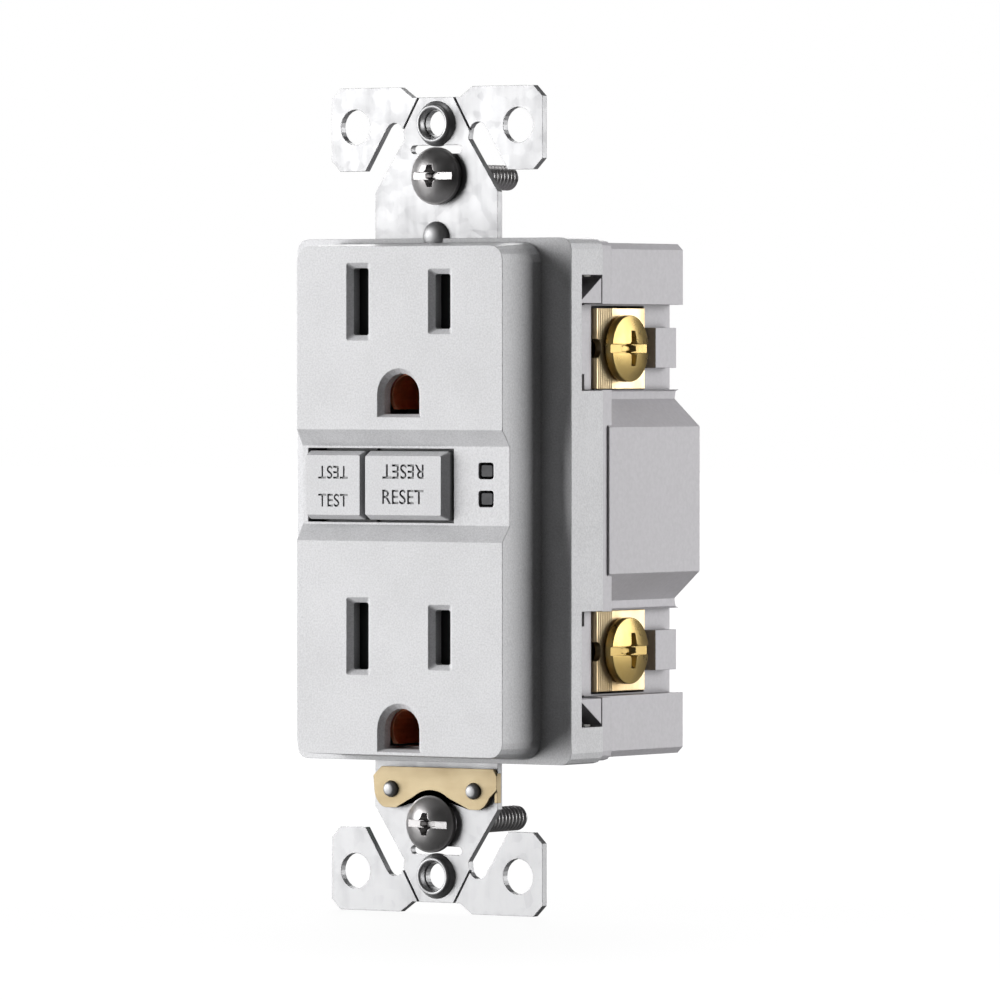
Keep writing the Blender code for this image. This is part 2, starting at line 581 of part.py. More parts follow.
def build_terminals():
    """Terminal plates, their pressure plates and screws: line above, load below."""
    for sx, pole, metal in ((1, "hot", BRASS), (-1, "neutral", NICKEL)):
        for sz, role in ((1, "line"), (-1, "load")):
            name = f"{role}_{pole}"
            centre = (0, TERMINAL_Y, sz * TERMINAL_Z)
            plate_z = sorted((sz * 14.6, sz * 24.4))
            terminal = box(name + "_terminal", sorted((sx * 14.3, sx * 15.3)), (10.5, 21.7),
                           plate_z, metal)
            if role == "line":
                bars = [((sx * 0.8, sx * 14.8), (19.4, 20.2), (18.3, 20.3)),
                        ((sx * 0.8, sx * 1.6), (11.3, 20.2), (18.3, 20.3)),
                        ((sx * 0.8, sx * 9.5), (11.3, 12.1), (18.3, 20.3)),
                        ((sx * 6.5, sx * 9.5), (11.3, 12.1), (11.5, 20.3))]
            else:
                bars = [((sx * 14.3, sx * 15.3), (8.4, 10.7), (-15.6, -6.0)),
                        ((sx * 14.3, sx * 15.3), (10.5, 12.3), (-8.6, -6.0)),
                        ((sx * 6.5, sx * 15.0), (11.6, 12.3), (-8.6, -6.0))]
                join(terminal, box(name + "_riser", sorted((sx * 14.3, sx * 15.3)), (8.4, 12.0),
                                   (-15.9, -14.7), metal))
            for i, (x, y, z) in enumerate(bars):
                join(terminal, box(f"{name}_bar_{i}", sorted(x), y, z, metal))
            cut(terminal, rod(name + "_thread", "X", centre, 2.35, sorted((sx * 13, sx * 16)),
                              group=cutters, sides=24))
            plate = box(name + "_pressure_plate", sorted((sx * (PLATE_OUT_X - 1), sx * PLATE_OUT_X)),
                        (TERMINAL_Y - 5.8, TERMINAL_Y + 5.8),
                        (centre[2] - 5.2, centre[2] + 5.2), metal)
            cut(plate, rod(name + "_plate_hole", "X", centre, 2.4, (-30, 30), group=cutters,
                           sides=24))
            set_origin(plate, (sx * PLATE_OUT_X, TERMINAL_Y, centre[2]))
            domed_screw(name + "_terminal_screw", "X",
                        (sx * (PLATE_OUT_X + GAP), TERMINAL_Y, centre[2]), sx,
                        (TERMINAL_HEAD_R, TERMINAL_HEAD_H), (TERMINAL_SHANK_R, 4.1), 0.55, metal)


def build_shutters():
    """A sliding shutter behind each outlet, its base plate and its spring."""
    travel = 3.2
    for z, side in zip(OUTLET_Z, ("upper", "lower")):
        shutter = box(side + "_shutter", (-11.4, 8.2), (-7.2, -5.5), (z - 5.2, z + 5.0),
                      DARK_PLASTIC)
        base = box(side + "_shutter_base", (-13.6, 13.6), (-5.2, -4.2), (z - 5.6, z + 5.2),
                   DARK_PLASTIC)
        for x in (-SLOT_X, SLOT_X):
            cut(shutter, box(f"{side}_shutter_window_{x:.0f}",
                             (x - travel - 1.4, x - travel + 1.4), (-9, -4), (z - 4.4, z + 4.4),
                             group=cutters))
            cut(base, box(f"{side}_base_window_{x:.0f}", (x - 1.3, x + 1.3), (-6, -3),
                          (z - 4.4, z + 4.4), group=cutters))
        set_origin(shutter, (0, -6.4, z))
        coil(side + "_shutter_spring", "X", (0, -6.4, z), 0.7, (8.5, 14.0), 7, 0.25)


def build_buttons():
    """Test and reset buttons with their pin, spring and contact blade, and the light pipes."""
    z_span = (BAND_Z - BUTTON_HALF_H, BAND_Z + BUTTON_HALF_H)
    z_lip = (BAND_Z - 5.5, BAND_Z + 5.5)
    for name, x_span in (("test_button", TEST_X), ("reset_button", RESET_X)):
        inset = 0.6
        middle = ((x_span[0] + x_span[1]) / 2, BAND_Z)
        half = ((x_span[1] - x_span[0]) / 2, BUTTON_HALF_H)
        button = tapered(name, rounded(half[0] - inset, half[1] - inset, 0.5, middle, 3),
                         rounded(half[0], half[1], 0.5, middle, 3), BUTTON_Y, BUTTON_Y + 1.2,
                         COVER_GREY)
        join(button, slab(name + "_body", rounded(half[0], half[1], 0.5, middle, 3), "Y",
                          (BUTTON_Y + 1.15, LIP_Y + 0.1), COVER_GREY))
        lip_x = (max(x_span[0], -14.0), min(x_span[1], 13.0))
        join(button, box(name + "_lip", lip_x, (LIP_Y, BUTTON_BACK), z_lip, COVER_GREY))
        if name == "reset_button":
            cut(button, rod("spring_pocket", "Y", (PIN_X, 0, BAND_Z), 3.2, (-7.6, -4), sides=24,
                            group=cutters))
            cut(button, rod("pin_socket", "Y", (PIN_X, 0, BAND_Z), 1.1, (-8.4, -4),
                            group=cutters, sides=SMALL_ROUND))
        set_origin(button, (middle[0], BUTTON_Y, middle[1]))
    pin = rod("reset_pin", "Y", (PIN_X, 0, BAND_Z), 0.8, (-8.1, 17.4), STEEL, sides=SMALL_ROUND)
    join(pin, cone("pin_head", "Y", (PIN_X, 0, BAND_Z), (1.3, 0.7), (17.2, 18.4),
                   sides=SMALL_ROUND))
    set_origin(pin, (PIN_X, 0, BAND_Z))
    coil("reset_spring", "Y", (PIN_X, 0, BAND_Z), 2.3, (-7.3, -1.3), 4, 0.5)
    blade = [(-0.4, -6.0), (-0.4, -2.2), (-4.8, 0.4), (-4.8, 3.6), (-4.4, 3.6), (-4.4, 0.6),
             (0.0, -2.0), (0.0, -6.0)]
    slab("test_blade", blade, "X", (-11.8, -8.8), BRASS)
    for z, side in zip(LIGHT_Z, ("upper", "lower")):
        slab(side + "_light_pipe", rounded(LIGHT_HALF, LIGHT_HALF - 0.1, 0.25, (LIGHT_X, z), 3),
             "Y", (-7.8, 18.2), CLEAR)
        box(side + "_indicator_led", (LIGHT_X - 0.8, LIGHT_X + 0.8), (18.6, 20.7),
            (z - 0.7, z + 0.7), CLEAR)


def build_mechanism():
    """Trip mechanism: solenoid, plunger, latch, lifter and contact arms."""
    lifter = box("contact_lifter", (-9.8, 9.8), (13.3, 15.9), (BAND_Z - 4, BAND_Z + 4),
                 WHITE_PLASTIC)
    cut(lifter, rod("lifter_bore", "Y", (PIN_X, 0, BAND_Z), 1.7, (12, 17), group=cutters,
                    sides=SMALL_ROUND))
    set_origin(lifter, (PIN_X, 14.6, BAND_Z))
    latch = box("latch", (PIN_X - 2.6, PIN_X + 2.6), (16.2, 16.8), (BAND_Z - 6.5, BAND_Z + 3.0))
    cut(latch, box("latch_slot", (PIN_X - 1.65, PIN_X + 1.65), (15, 18),
                   (BAND_Z - 4.9, BAND_Z + 0.98), group=cutters))
    set_origin(latch, (PIN_X, 16.5, BAND_Z))
    for sx, name in ((1, "hot_contact_arm"), (-1, "neutral_contact_arm")):
        arm = box(name, sorted((sx * 6.8, sx * 9.2)), (12.6, 13.0), (-8.4, 14.6), COPPER)
        cut(arm, box(name + "_relief", sorted((sx * 7.6, sx * 8.4)), (11, 14), (-1.5, 5.5),
                     group=cutters))
        set_origin(arm, (sx * 8.0, 12.8, 13.6))
    axis = (PIN_X, 16.5, 0)
    bobbin = rod("solenoid_bobbin", "Z", axis, 2.1, (-24.0, -9.0), WHITE_PLASTIC, sides=24)
    for label, span in (("top", (-10.2, -9.0)), ("bottom", (-24.0, -22.8))):
        join(bobbin, rod("bobbin_flange_" + label, "Z", axis, 4.0, span, WHITE_PLASTIC, sides=24))
    cut(bobbin, rod("bobbin_bore", "Z", axis, 1.7, (-30, 0), group=cutters, sides=24))
    winding = rod("solenoid_winding", "Z", axis, 3.7, (-22.5, -10.5), ENAMEL, sides=24)
    cut(winding, rod("winding_bore", "Z", axis, 2.4, (-30, 0), group=cutters, sides=24))
    plunger = rod("plunger", "Z", axis, 1.35, (-30.8, -5.15), STEEL, sides=SMALL_ROUND)
    join(plunger, rod("plunger_collar", "Z", axis, 2.8, (-30.9, -30.1), STEEL, sides=SMALL_ROUND))
    set_origin(plunger, (PIN_X, 16.5, -4.85))
    coil("plunger_spring", "Z", (PIN_X, 16.5, 0), 2.2, (-29.8, -24.3), 6, 0.35)


def build_electronics():
    """Circuit board, sensing rings and the larger components."""
    half = [(11.0, 30.2), (11.0, 12.4), (15.3, 12.3), (15.2, 8.3), (18.6, 8.2)]
    right = half + [(x, -z) for x, z in reversed(half)]
    board = slab("circuit_board", right + [(-x, z) for x, z in reversed(right)], "Y",
                 (21.0, 22.6), BOARD)
    cut(board, rod("board_pin_hole", "Y", (PIN_X, 0, BAND_Z), 2.0, (20, 24), group=cutters,
                   sides=SMALL_ROUND))
    for name, span in (("sensing_ring", (12.5, 15.3)), ("neutral_ring", (15.8, 18.8))):
        ring = rod(name, "Y", (0, 0, TERMINAL_Z - 0.2), 7.4, span, DARK_PLASTIC)
        cut(ring, rod(name + "_bore", "Y", (0, 0, TERMINAL_Z - 0.2), 3.0, (11, 20),
                      group=cutters, sides=24))
    rod("varistor", "Y", (-4.5, 0, 22.0), 4.5, (23.0, 26.5), BLUE)
    box("capacitor", (2.5, 9.5), (23.0, 26.5), (12.0, 19.0), DARK_PLASTIC)
    box("trip_thyristor", (-7.5, -2.0), (23.0, 26.4), (-18.0, -13.5), DARK_PLASTIC)


build_strap()
build_grounding_clip()
build_screws()
build_front_cover()
build_rear_housing()
build_separator()
build_face_contacts()
build_terminals()
build_shutters()
build_buttons()
build_mechanism()
build_electronics()
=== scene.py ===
# %% [markdown]
# # A ground-fault outlet, finished for the camera
#
# The mechanical model already holds every part of this outlet in its true place: the white cover,
# the rear housing, the steel strap, the screws and the works inside. This lesson dresses that
# model. It gives every part a real finish and rebuilds the parts whose CAD shape is too plain.
# The lengths of the new pieces are written in millimetres, and one factor, MM, turns them into
# metres. Lamps and camera stand far from the object, so their distances are written in metres.

# %% Load the model
import json
import math

import bmesh
import bpy
import numpy as np
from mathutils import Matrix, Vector


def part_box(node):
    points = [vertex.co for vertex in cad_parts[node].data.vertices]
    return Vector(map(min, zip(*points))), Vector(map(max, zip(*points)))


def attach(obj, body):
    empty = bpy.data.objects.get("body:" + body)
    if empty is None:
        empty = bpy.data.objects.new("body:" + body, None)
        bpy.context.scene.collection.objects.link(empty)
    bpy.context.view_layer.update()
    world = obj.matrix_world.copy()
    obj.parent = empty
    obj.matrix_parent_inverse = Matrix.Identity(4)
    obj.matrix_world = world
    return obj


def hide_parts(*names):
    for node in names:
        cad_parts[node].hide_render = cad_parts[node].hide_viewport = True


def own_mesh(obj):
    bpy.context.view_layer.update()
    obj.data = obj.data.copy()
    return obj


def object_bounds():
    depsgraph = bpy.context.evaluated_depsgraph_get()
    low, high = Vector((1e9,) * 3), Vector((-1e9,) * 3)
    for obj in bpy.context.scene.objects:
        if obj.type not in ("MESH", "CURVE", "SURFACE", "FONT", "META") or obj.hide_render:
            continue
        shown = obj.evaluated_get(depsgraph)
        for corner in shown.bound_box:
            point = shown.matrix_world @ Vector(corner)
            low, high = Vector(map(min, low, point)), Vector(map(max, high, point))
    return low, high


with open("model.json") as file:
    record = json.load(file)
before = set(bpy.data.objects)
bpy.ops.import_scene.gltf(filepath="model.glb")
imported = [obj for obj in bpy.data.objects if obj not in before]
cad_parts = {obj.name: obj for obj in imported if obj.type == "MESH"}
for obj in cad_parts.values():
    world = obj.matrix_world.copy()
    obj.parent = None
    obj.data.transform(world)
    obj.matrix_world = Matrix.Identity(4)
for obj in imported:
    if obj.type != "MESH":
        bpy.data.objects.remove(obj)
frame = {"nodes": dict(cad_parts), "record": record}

cad_box = [list(corner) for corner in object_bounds()]
MM = 0.001
print("CAD box in mm", np.round(np.array(cad_box) / MM, 2).tolist())


# %% [markdown]
# ## Lights, camera and table
#
# A camera far away with a long lens keeps the sides of a small product nearly parallel. The key
# light is a large soft box in front on the left, so the raised face is the brightest surface and
# throws a soft shadow on the flange at its right. A second box stands at the right, a little
# behind the face, and lights the side walls. A world texture could do all of it, but soft boxes
# are easier to aim, and metal shows them as clear bright bands.


# %% Camera
LENS_LENGTH, SENSOR_WIDTH = 341.8, 36.0
SIDEWAYS_SHIFT = 0.0593
CLIP_RANGE = (0.05, 50.0)
CAMERA_AZIMUTH, CAMERA_ELEVATION, CAMERA_DISTANCE = 34.27, 0.85, 1.2224


def direction(azimuth, elevation):
    """Unit vector from the object: azimuth turns from the front, -Y, towards +X; elevation is up."""
    a, e = math.radians(azimuth), math.radians(elevation)
    return Vector((math.sin(a) * math.cos(e), -math.cos(a) * math.cos(e), math.sin(e)))


def aimed(thing, azimuth, elevation, distance):
    """Puts a camera or lamp on that line, looking at the middle of the strap."""
    towards = direction(azimuth, elevation)
    thing.location = towards * distance
    thing.rotation_mode = "QUATERNION"
    thing.rotation_quaternion = (-towards).to_track_quat("-Z", "Y")


scene = bpy.context.scene
camera = bpy.data.objects.new("camera", bpy.data.cameras.new("camera"))
scene.collection.objects.link(camera)
camera.data.lens = LENS_LENGTH
camera.data.sensor_width = SENSOR_WIDTH
camera.data.shift_x = SIDEWAYS_SHIFT
camera.data.clip_start, camera.data.clip_end = CLIP_RANGE
aimed(camera, CAMERA_AZIMUTH, CAMERA_ELEVATION, CAMERA_DISTANCE)
scene.camera = camera
scene.view_settings.view_transform = "Standard"
print("camera at", [round(v, 3) for v in camera.location])


# %% Soft boxes
# Each lamp: azimuth and elevation in degrees, distance and size in metres, power in watts.
LAMPS = {
    "key_box": (-52, 0, 1.3, (1.0, 1.2), 29.5),
    "side_box": (128, 3, 1.1, (0.8, 0.9), 12.0),
    "front_fill": (50, 30, 1.6, (0.5, 0.5), 0.3),
    "top_box": (60, 86, 1.2, (0.7, 0.5), 2.4),
    "rear_box": (215, 20, 1.4, (0.8, 0.8), 8.0),
}


def soft_box(name, azimuth, elevation, distance, size, power):
    """A rectangular lamp of size (width, height) in metres, aimed at the object."""
    lamp = bpy.data.lights.new(name, "AREA")
    lamp.shape = "RECTANGLE"
    lamp.size, lamp.size_y = size
    lamp.energy = power
    holder = bpy.data.objects.new(name, lamp)
    scene.collection.objects.link(holder)
    aimed(holder, azimuth, elevation, distance)


for name, settings in LAMPS.items():
    soft_box(name, *settings)


# %% [markdown]
# ## Shader maths as Python
#
# A finish needs sums such as grain * 0.3 + cloud. Building each Math node by hand hides the sum,
# so a small class wraps a socket and lets Python's own operators write the nodes.


# %% A small class for shader maths
class Wire:
    """One output of a shader tree; an expression on it adds Math nodes."""

    def __init__(self, finish, socket):
        self.finish, self.socket = finish, socket

    def math(self, operation, other):
        """A Math node fed by this wire and by another wire or a number."""
        return self.finish.node("ShaderNodeMath", {"operation": operation}, {0: self, 1: other})

    def __add__(self, other):
        return self.math("ADD", other)

    def __sub__(self, other):
        return self.math("SUBTRACT", other)

    def __mul__(self, other):
        return self.math("MULTIPLY", other)

    __radd__ = __add__
    __rmul__ = __mul__

    def step(self, low, high):
        """0 below low, 1 above high, and a smooth ramp between."""
        return self.finish.node(
            "ShaderNodeMapRange",
            {"interpolation_type": "SMOOTHSTEP"},
            {"Value": self, "From Min": low, "From Max": high},
        )


print("a Wire can", [word.strip("_") for word in vars(Wire) if word not in dir(object)])


# %% A small class for a material
NOISE_ROUGHNESS = 0.55


class Finish:
    """A material under construction. Uniform values go straight on the shader's own sockets."""

    def __init__(self, name, **uniform):
        self.material = bpy.data.materials.new(name)
        self.material.use_nodes = True
        self.tree = self.material.node_tree
        self.shader = self.tree.nodes["Principled BSDF"]
        for socket, value in uniform.items():
            self.shader.inputs[socket.replace("_", " ")].default_value = value
        self.place = self.node("ShaderNodeTexCoord", output="Object")

    def node(self, kind, settings=None, inputs=None, output=0):
        """Adds a node: its settings first, then values or wires on its sockets."""
        made = self.tree.nodes.new(kind)
        for key, value in (settings or {}).items():
            setattr(made, key, value)
        for key, value in (inputs or {}).items():
            if isinstance(value, Wire):
                self.tree.links.new(value.socket, made.inputs[key])
            else:
                made.inputs[key].default_value = value
        return Wire(self, made.outputs[output])

    def noise(self, scale, detail=3.0, stretch=(1, 1, 1)):
        """Soft random cloud; stretch squeezes it along an axis, as brushing does."""
        where = self.place
        if stretch != (1, 1, 1):
            where = self.node("ShaderNodeMapping", None, {"Vector": self.place, "Scale": stretch})
        return self.node(
            "ShaderNodeTexNoise",
            None,
            {"Vector": where, "Scale": scale, "Detail": detail, "Roughness": NOISE_ROUGHNESS},
        )

    def blend(self, factor, first, second):
        """A colour that goes from first to second as factor goes from 0 to 1."""
        return self.node(
            "ShaderNodeMix", {"data_type": "RGBA"}, {0: factor, 6: first, 7: second}, output=2
        )

    def feed(self, **wires):
        """Joins varying values to the shader."""
        for socket, wire in wires.items():
            self.tree.links.new(wire.socket, self.shader.inputs[socket.replace("_", " ")])

    def relief(self, height, depth, edge):
        """A normal with rounded edges of radius edge and a relief of that depth, both in mm."""
        rounded = self.node("ShaderNodeBevel", {"samples": 6}, {"Radius": edge * MM}, 0)
        bump = {"Height": height, "Distance": depth * MM, "Strength": 1.0, "Normal": rounded}
        return self.node("ShaderNodeBump", None, bump)


def shade(colour, factor):
    """The colour made lighter or darker, with full alpha."""
    return (*[min(1.0, c * factor) for c in colour], 1.0)


print("mid grey made darker:", shade((0.5, 0.5, 0.5), 0.8))


# %% [markdown]
# ## The moulded plastics
#
# The cover is a white thermoplastic from a lightly eroded mould: satin, with a very fine speckle
# that shows as grain on the face. The rear housing is the same family of plastic, a little more
# lilac and duller. One function makes both, because they differ only in numbers.


# %% Plastic finishes
CLOUD_SCALE = 90.0
PAINTED_SHADE_REACH = 5 * MM


def moulded(name, colour, roughness, grain, depth, edge=0.16, speck=0.09, hollow=0.45):
    """Satin plastic: grain is the number of speckles in a metre, depth their height in mm.

    hollow is how bright the plastic stays in narrow gaps, darkened there as painted shade.
    """
    finish = Finish(name, IOR=1.5)
    speckle = finish.noise(grain, 4.0)
    cloud = finish.noise(CLOUD_SCALE, 2.0)
    tone = speckle * 0.65 + cloud * 0.35
    colour_wire = finish.blend(
        tone.step(0.3, 0.7), shade(colour, 1.0 - speck), shade(colour, 1.0 + speck * 0.3)
    )
    # Painted shade: an ambient occlusion test darkens the base colour in gaps and recesses, down to
    # hollow times the colour.
    painted_shade_mask = finish.node(
        "ShaderNodeAmbientOcclusion", {"samples": 6}, {"Distance": PAINTED_SHADE_REACH}, output=1
    )
    finish.feed(
        Base_Color=finish.blend(painted_shade_mask.step(0.15, 0.8), shade(colour, hollow), colour_wire),
        Roughness=roughness + (cloud - 0.5) * 0.2 + (speckle - 0.5) * 0.1,
        Normal=finish.relief(speckle, depth, edge),
    )
    return finish.material


# hollow sets each plastic's painted shade in gaps; the cover and the buttons are darkened most.
FINISHES = {
    "cover": moulded(
        "cover_plastic", (0.67, 0.67, 0.685), 0.42, 4200.0, 0.03, speck=0.2, hollow=0.22
    ),
    "housing": moulded("housing_plastic", (0.58, 0.565, 0.59), 0.5, 1800.0, 0.01),
    "dark_plastic": moulded("dark_plastic", (0.03, 0.03, 0.034), 0.45, 1500.0, 0.01),
    "white_plastic": moulded("bobbin_plastic", (0.72, 0.71, 0.66), 0.5, 1500.0, 0.01),
    "button": moulded(
        "button_plastic",
        (0.63, 0.63, 0.645),
        0.4,
        4200.0,
        0.026,
        edge=0.1,
        speck=0.18,
        hollow=0.3,
    ),
    "blue_component": moulded("blue_coating", (0.03, 0.10, 0.33), 0.3, 900.0, 0.01),
}
print("plastics", sorted(FINISHES))

# %% [markdown]
# ## The metals
#
# The strap is galvanised sheet steel. Zinc leaves a faint crystal pattern, and rolling leaves
# fine streaks along the sheet. The screws are plated and smoother. Brass carries a warm tarnish
# in patches. The patches change the colour and the roughness together, as they do on real metal.


# %% Metal finishes
STREAK_SCALE, PATCH_SCALE, CRYSTAL_SCALE = 900.0, 160.0, 700.0
STREAK_DEPTH, METAL_EDGE = 0.006, 0.1


def metal(name, colour, dull, roughness, streak=(1, 1, 1), spangle=0.0, patch=0.5):
    """Metal with a dull colour in patches, streaks squeezed along one axis, and zinc crystals."""
    finish = Finish(name, Metallic=1.0)
    streaks = finish.noise(STREAK_SCALE, 4.0, streak)
    patches = finish.noise(PATCH_SCALE, 4.0).step(0.35, 0.75)
    cells = {"Vector": finish.place, "Scale": CRYSTAL_SCALE}
    crystals = finish.node("ShaderNodeTexVoronoi", None, cells, output="Color")
    crystal = finish.node("ShaderNodeRGBToBW", None, {0: crystals})
    tone = patches * patch + (streaks - 0.5) * 0.5 + (crystal - 0.5) * spangle
    finish.feed(
        Base_Color=finish.blend(tone, (*colour, 1), (*dull, 1)),
        Roughness=(
            roughness + patches * 0.1 + (streaks - 0.5) * 0.16 + (crystal - 0.5) * spangle * 0.3
        ),
        Normal=finish.relief(streaks, STREAK_DEPTH, METAL_EDGE),
    )
    return finish.material


FINISHES.update(
    steel=metal(
        "galvanised_steel",
        (0.33, 0.33, 0.335),
        (0.25, 0.25, 0.26),
        0.44,
        (1, 1, 0.12),
        0.3,
        patch=0.06,
    ),
    screw_steel=metal(
        "plated_screw_steel", (0.37, 0.36, 0.36), (0.28, 0.275, 0.275), 0.3, spangle=0.1
    ),
    brass=metal("brass", (0.76, 0.61, 0.38), (0.46, 0.33, 0.17), 0.36, (1, 1, 0.2), patch=0.8),
    screw_brass=metal("screw_brass", (0.42, 0.305, 0.115), (0.32, 0.22, 0.07), 0.27),
    clip_brass=metal("clip_brass", (0.30, 0.245, 0.155), (0.22, 0.165, 0.09), 0.42, (0.15, 1, 1)),
    nickel=metal("nickel_plate", (0.74, 0.72, 0.68), (0.55, 0.54, 0.51), 0.24),
    copper=metal("copper", (0.95, 0.42, 0.24), (0.55, 0.2, 0.1), 0.4),
    green_screw=metal("green_dyed_zinc", (0.10, 0.42, 0.18), (0.04, 0.22, 0.08), 0.3),
    enamel=metal("enamelled_wire", (0.70, 0.27, 0.10), (0.36, 0.10, 0.03), 0.25),
)
print("metals added,", len(FINISHES), "finishes")

# %% [markdown]
# ## Smoked lenses and the circuit board
#
# The indicator windows look nearly black while their lamps are off: a smoked plastic. The board
# is green lacquer over woven glass; the weave is a pair of crossed waves.
#
# The last lines give every carried-over part the finish of its material slot, so a part that
# this lesson doesn't rebuild is dressed all the same.


# %% Lens and board finishes
def smoked():
    """Dark smooth plastic with a faint inner cloud."""
    finish = Finish("smoked_lens", IOR=1.38)
    cloud = finish.noise(500.0, 2.0)
    finish.feed(
        Base_Color=finish.blend(
            cloud.step(0.35, 0.7), (0.02, 0.02, 0.024, 1), (0.045, 0.045, 0.05, 1)
        ),
        Roughness=0.42 + cloud * 0.12,
        Normal=finish.relief(cloud, 0.003, 0.12),
    )
    return finish.material


def lacquered_board():
    """Green lacquer over glass cloth: two crossed waves for the weave, and a cloud for the lacquer."""
    finish = Finish("board_lacquer", Coat_Weight=0.4)
    weave = [
        finish.node(
            "ShaderNodeTexWave",
            {"bands_direction": axis},
            {"Vector": finish.place, "Scale": 900.0, "Distortion": 0.4},
            output=1,
        )
        for axis in ("X", "Z")
    ]
    cloth = weave[0] * 0.5 + weave[1] * 0.5
    cloud = finish.noise(200.0)
    finish.feed(
        Base_Color=finish.blend(
            cloth * 0.5 + cloud * 0.5, (0.01, 0.12, 0.05, 1), (0.03, 0.26, 0.11, 1)
        ),
        Roughness=0.25 + cloud * 0.2,
        Normal=finish.relief(cloth, 0.01, 0.1),
    )
    return finish.material


FINISHES.update(light_pipe=smoked(), board=lacquered_board())
print("all finishes:", sorted(FINISHES))

# %% Every carried-over part takes its finish
record = frame["record"]
slot_of = {part["node"]: part["material_slot"] for part in record["subparts"]}
body_of = {node: body for body, nodes in record["behaviour"]["bodies"].items() for node in nodes}
for name, node in frame["nodes"].items():
    finish = FINISHES[slot_of[name]]
    for slot in node.material_slots:
        slot.material = finish
    if not node.material_slots:
        node.data.materials.append(finish)
print("finished", len(frame["nodes"]), "carried-over parts")

# %% [markdown]
# ## The table
#
# A white table that melts into a white room. Near the object it takes a faint shadow; farther out
# it glows a little, so that no horizon line shows. The room is white to look at but lights the
# object only a little, because the soft boxes do that. A cyclorama, a wall that curves up out
# of the table, would also hide the horizon, but it would need lamps of its own.


# %% Table finish
def table_finish():
    """Diffuse white that glows white away from the object, but casts no light of its own."""
    finish = Finish("table_white", Roughness=0.6)
    away = finish.node("ShaderNodeVectorMath", {"operation": "LENGTH"}, {0: finish.place}, output=1)
    glow = away.step(0.06, 0.22)
    light = finish.node("ShaderNodeEmission", None, {"Strength": 1.06})
    seen = finish.node("ShaderNodeLightPath")
    mixed = finish.node(
        "ShaderNodeMixShader",
        None,
        {0: seen * (0.9 + glow * 0.1), 1: Wire(finish, finish.shader.outputs[0]), 2: light},
    )
    out = finish.tree.nodes["Material Output"].inputs[0]
    finish.tree.links.new(mixed.socket, out)
    dark = away.step(0.1, 0.35)
    finish.feed(Base_Color=finish.blend(dark, (0.22, 0.22, 0.22, 1), (0.03, 0.03, 0.03, 1)))
    return finish.material


print("table finish defined")


# %% The table top
def grid_faces(rows, columns, wrap=False):
    """Quads between neighbouring points of a grid, whose last column may meet the first."""
    i, j = np.meshgrid(np.arange(rows - 1), np.arange(columns - (not wrap)), indexing="ij")
    i, j = i.ravel(), j.ravel()
    i2, j2 = i + 1, (j + 1) % columns
    return np.stack([i * columns + j, i2 * columns + j, i2 * columns + j2, i * columns + j2], -1)


TABLE_REACH, TABLE_STEPS, TABLE_GAP = 4.0, 9, 0.02 * MM
span = np.linspace(-TABLE_REACH, TABLE_REACH, TABLE_STEPS)
floor_x, floor_y = np.meshgrid(span, span, indexing="ij")
floor_points = np.stack([floor_x, floor_y, np.full_like(floor_x, cad_box[0][2] - TABLE_GAP)], -1)
floor_mesh = bpy.data.meshes.new("table")
floor_faces = grid_faces(TABLE_STEPS, TABLE_STEPS)
floor_mesh.from_pydata(floor_points.reshape(-1, 3).tolist(), [], floor_faces.tolist())
floor = bpy.data.objects.new("table", floor_mesh)
scene.collection.objects.link(floor)
floor_mesh.materials.append(table_finish())
floor.visible_shadow = floor.visible_diffuse = False
print("table of", len(floor_mesh.polygons), "faces")

# %% The room
ROOM_LIGHT = 0.045
world = bpy.data.worlds.new("room")
scene.world = world
world.use_nodes = True
room = world.node_tree
background = room.nodes["Background"]
background.inputs["Color"].default_value = (1, 1, 1, 1)
background.inputs["Strength"].default_value = ROOM_LIGHT
white = room.nodes.new("ShaderNodeBackground")
white.inputs["Color"].default_value = (1, 1, 1, 1)
paths = room.nodes.new("ShaderNodeLightPath")
choose = room.nodes.new("ShaderNodeMixShader")
room.links.new(paths.outputs["Is Camera Ray"], choose.inputs[0])
room.links.new(background.outputs[0], choose.inputs[1])
room.links.new(white.outputs[0], choose.inputs[2])
room.links.new(choose.outputs[0], room.nodes["World Output"].inputs[0])
print("room light", ROOM_LIGHT)

# %% [markdown]
# ## Surfaces from formulas
#
# Every new piece below is a grid of points worked out at once with numpy: a profile turned round
# an axis, or an outline carried along one. A modelled cylinder with loop cuts would also do, but a
# formula keeps its measurements readable and can be changed later.


# %% Surface helpers
TURN = 2 * math.pi


def arc_points(centre, radius, first, last, steps=10):
    """Points on an arc: centre plus radius times the cosine and sine of each angle, in degrees."""
    angle = np.radians(np.linspace(first, last, steps))
    return np.stack([centre[0] + radius * np.cos(angle), centre[1] + radius * np.sin(angle)], -1)


def lathe(profile, sides=64):
    """A (radius, height) profile turned round Z: x = r cos a, y = r sin a, z = height."""
    profile = np.array(profile, float)
    angle = np.linspace(0, TURN, sides, endpoint=False)
    r, h = profile[:, :1], profile[:, 1:]
    return np.stack([r * np.cos(angle), r * np.sin(angle), h + 0 * angle], -1)


def prism(outline, low, high, shrink=1.0):
    """An outline swept from height low, where it is scaled by shrink, to high, with both ends shut."""
    outline = np.array(outline, float)
    scale = np.array([0.0, shrink, 1.0, 0.0])[:, None, None]
    height = np.array([low, low, high, high])[:, None, None]
    flat = outline[None] * scale
    return np.concatenate([flat, np.broadcast_to(height, (4, len(outline), 1))], -1)


def stood(points, centre, outward):
    """Turns a piece made round Z so that its Z points outward, such as along -Y, and moves it."""
    x, y, z = points[..., 0], points[..., 1], points[..., 2]
    turned = {
        "+X": (z, x, y),
        "-X": (-z, -x, y),
        "+Z": (x, y, z),
        "+Y": (-x, z, y),
        "-Y": (x, -z, y),
    }[outward]
    return np.stack(turned, -1) + np.array(centre, float)


print("three points turned on eight sides:", lathe([(0, 0), (1, 0), (0, 1)], 8).shape)


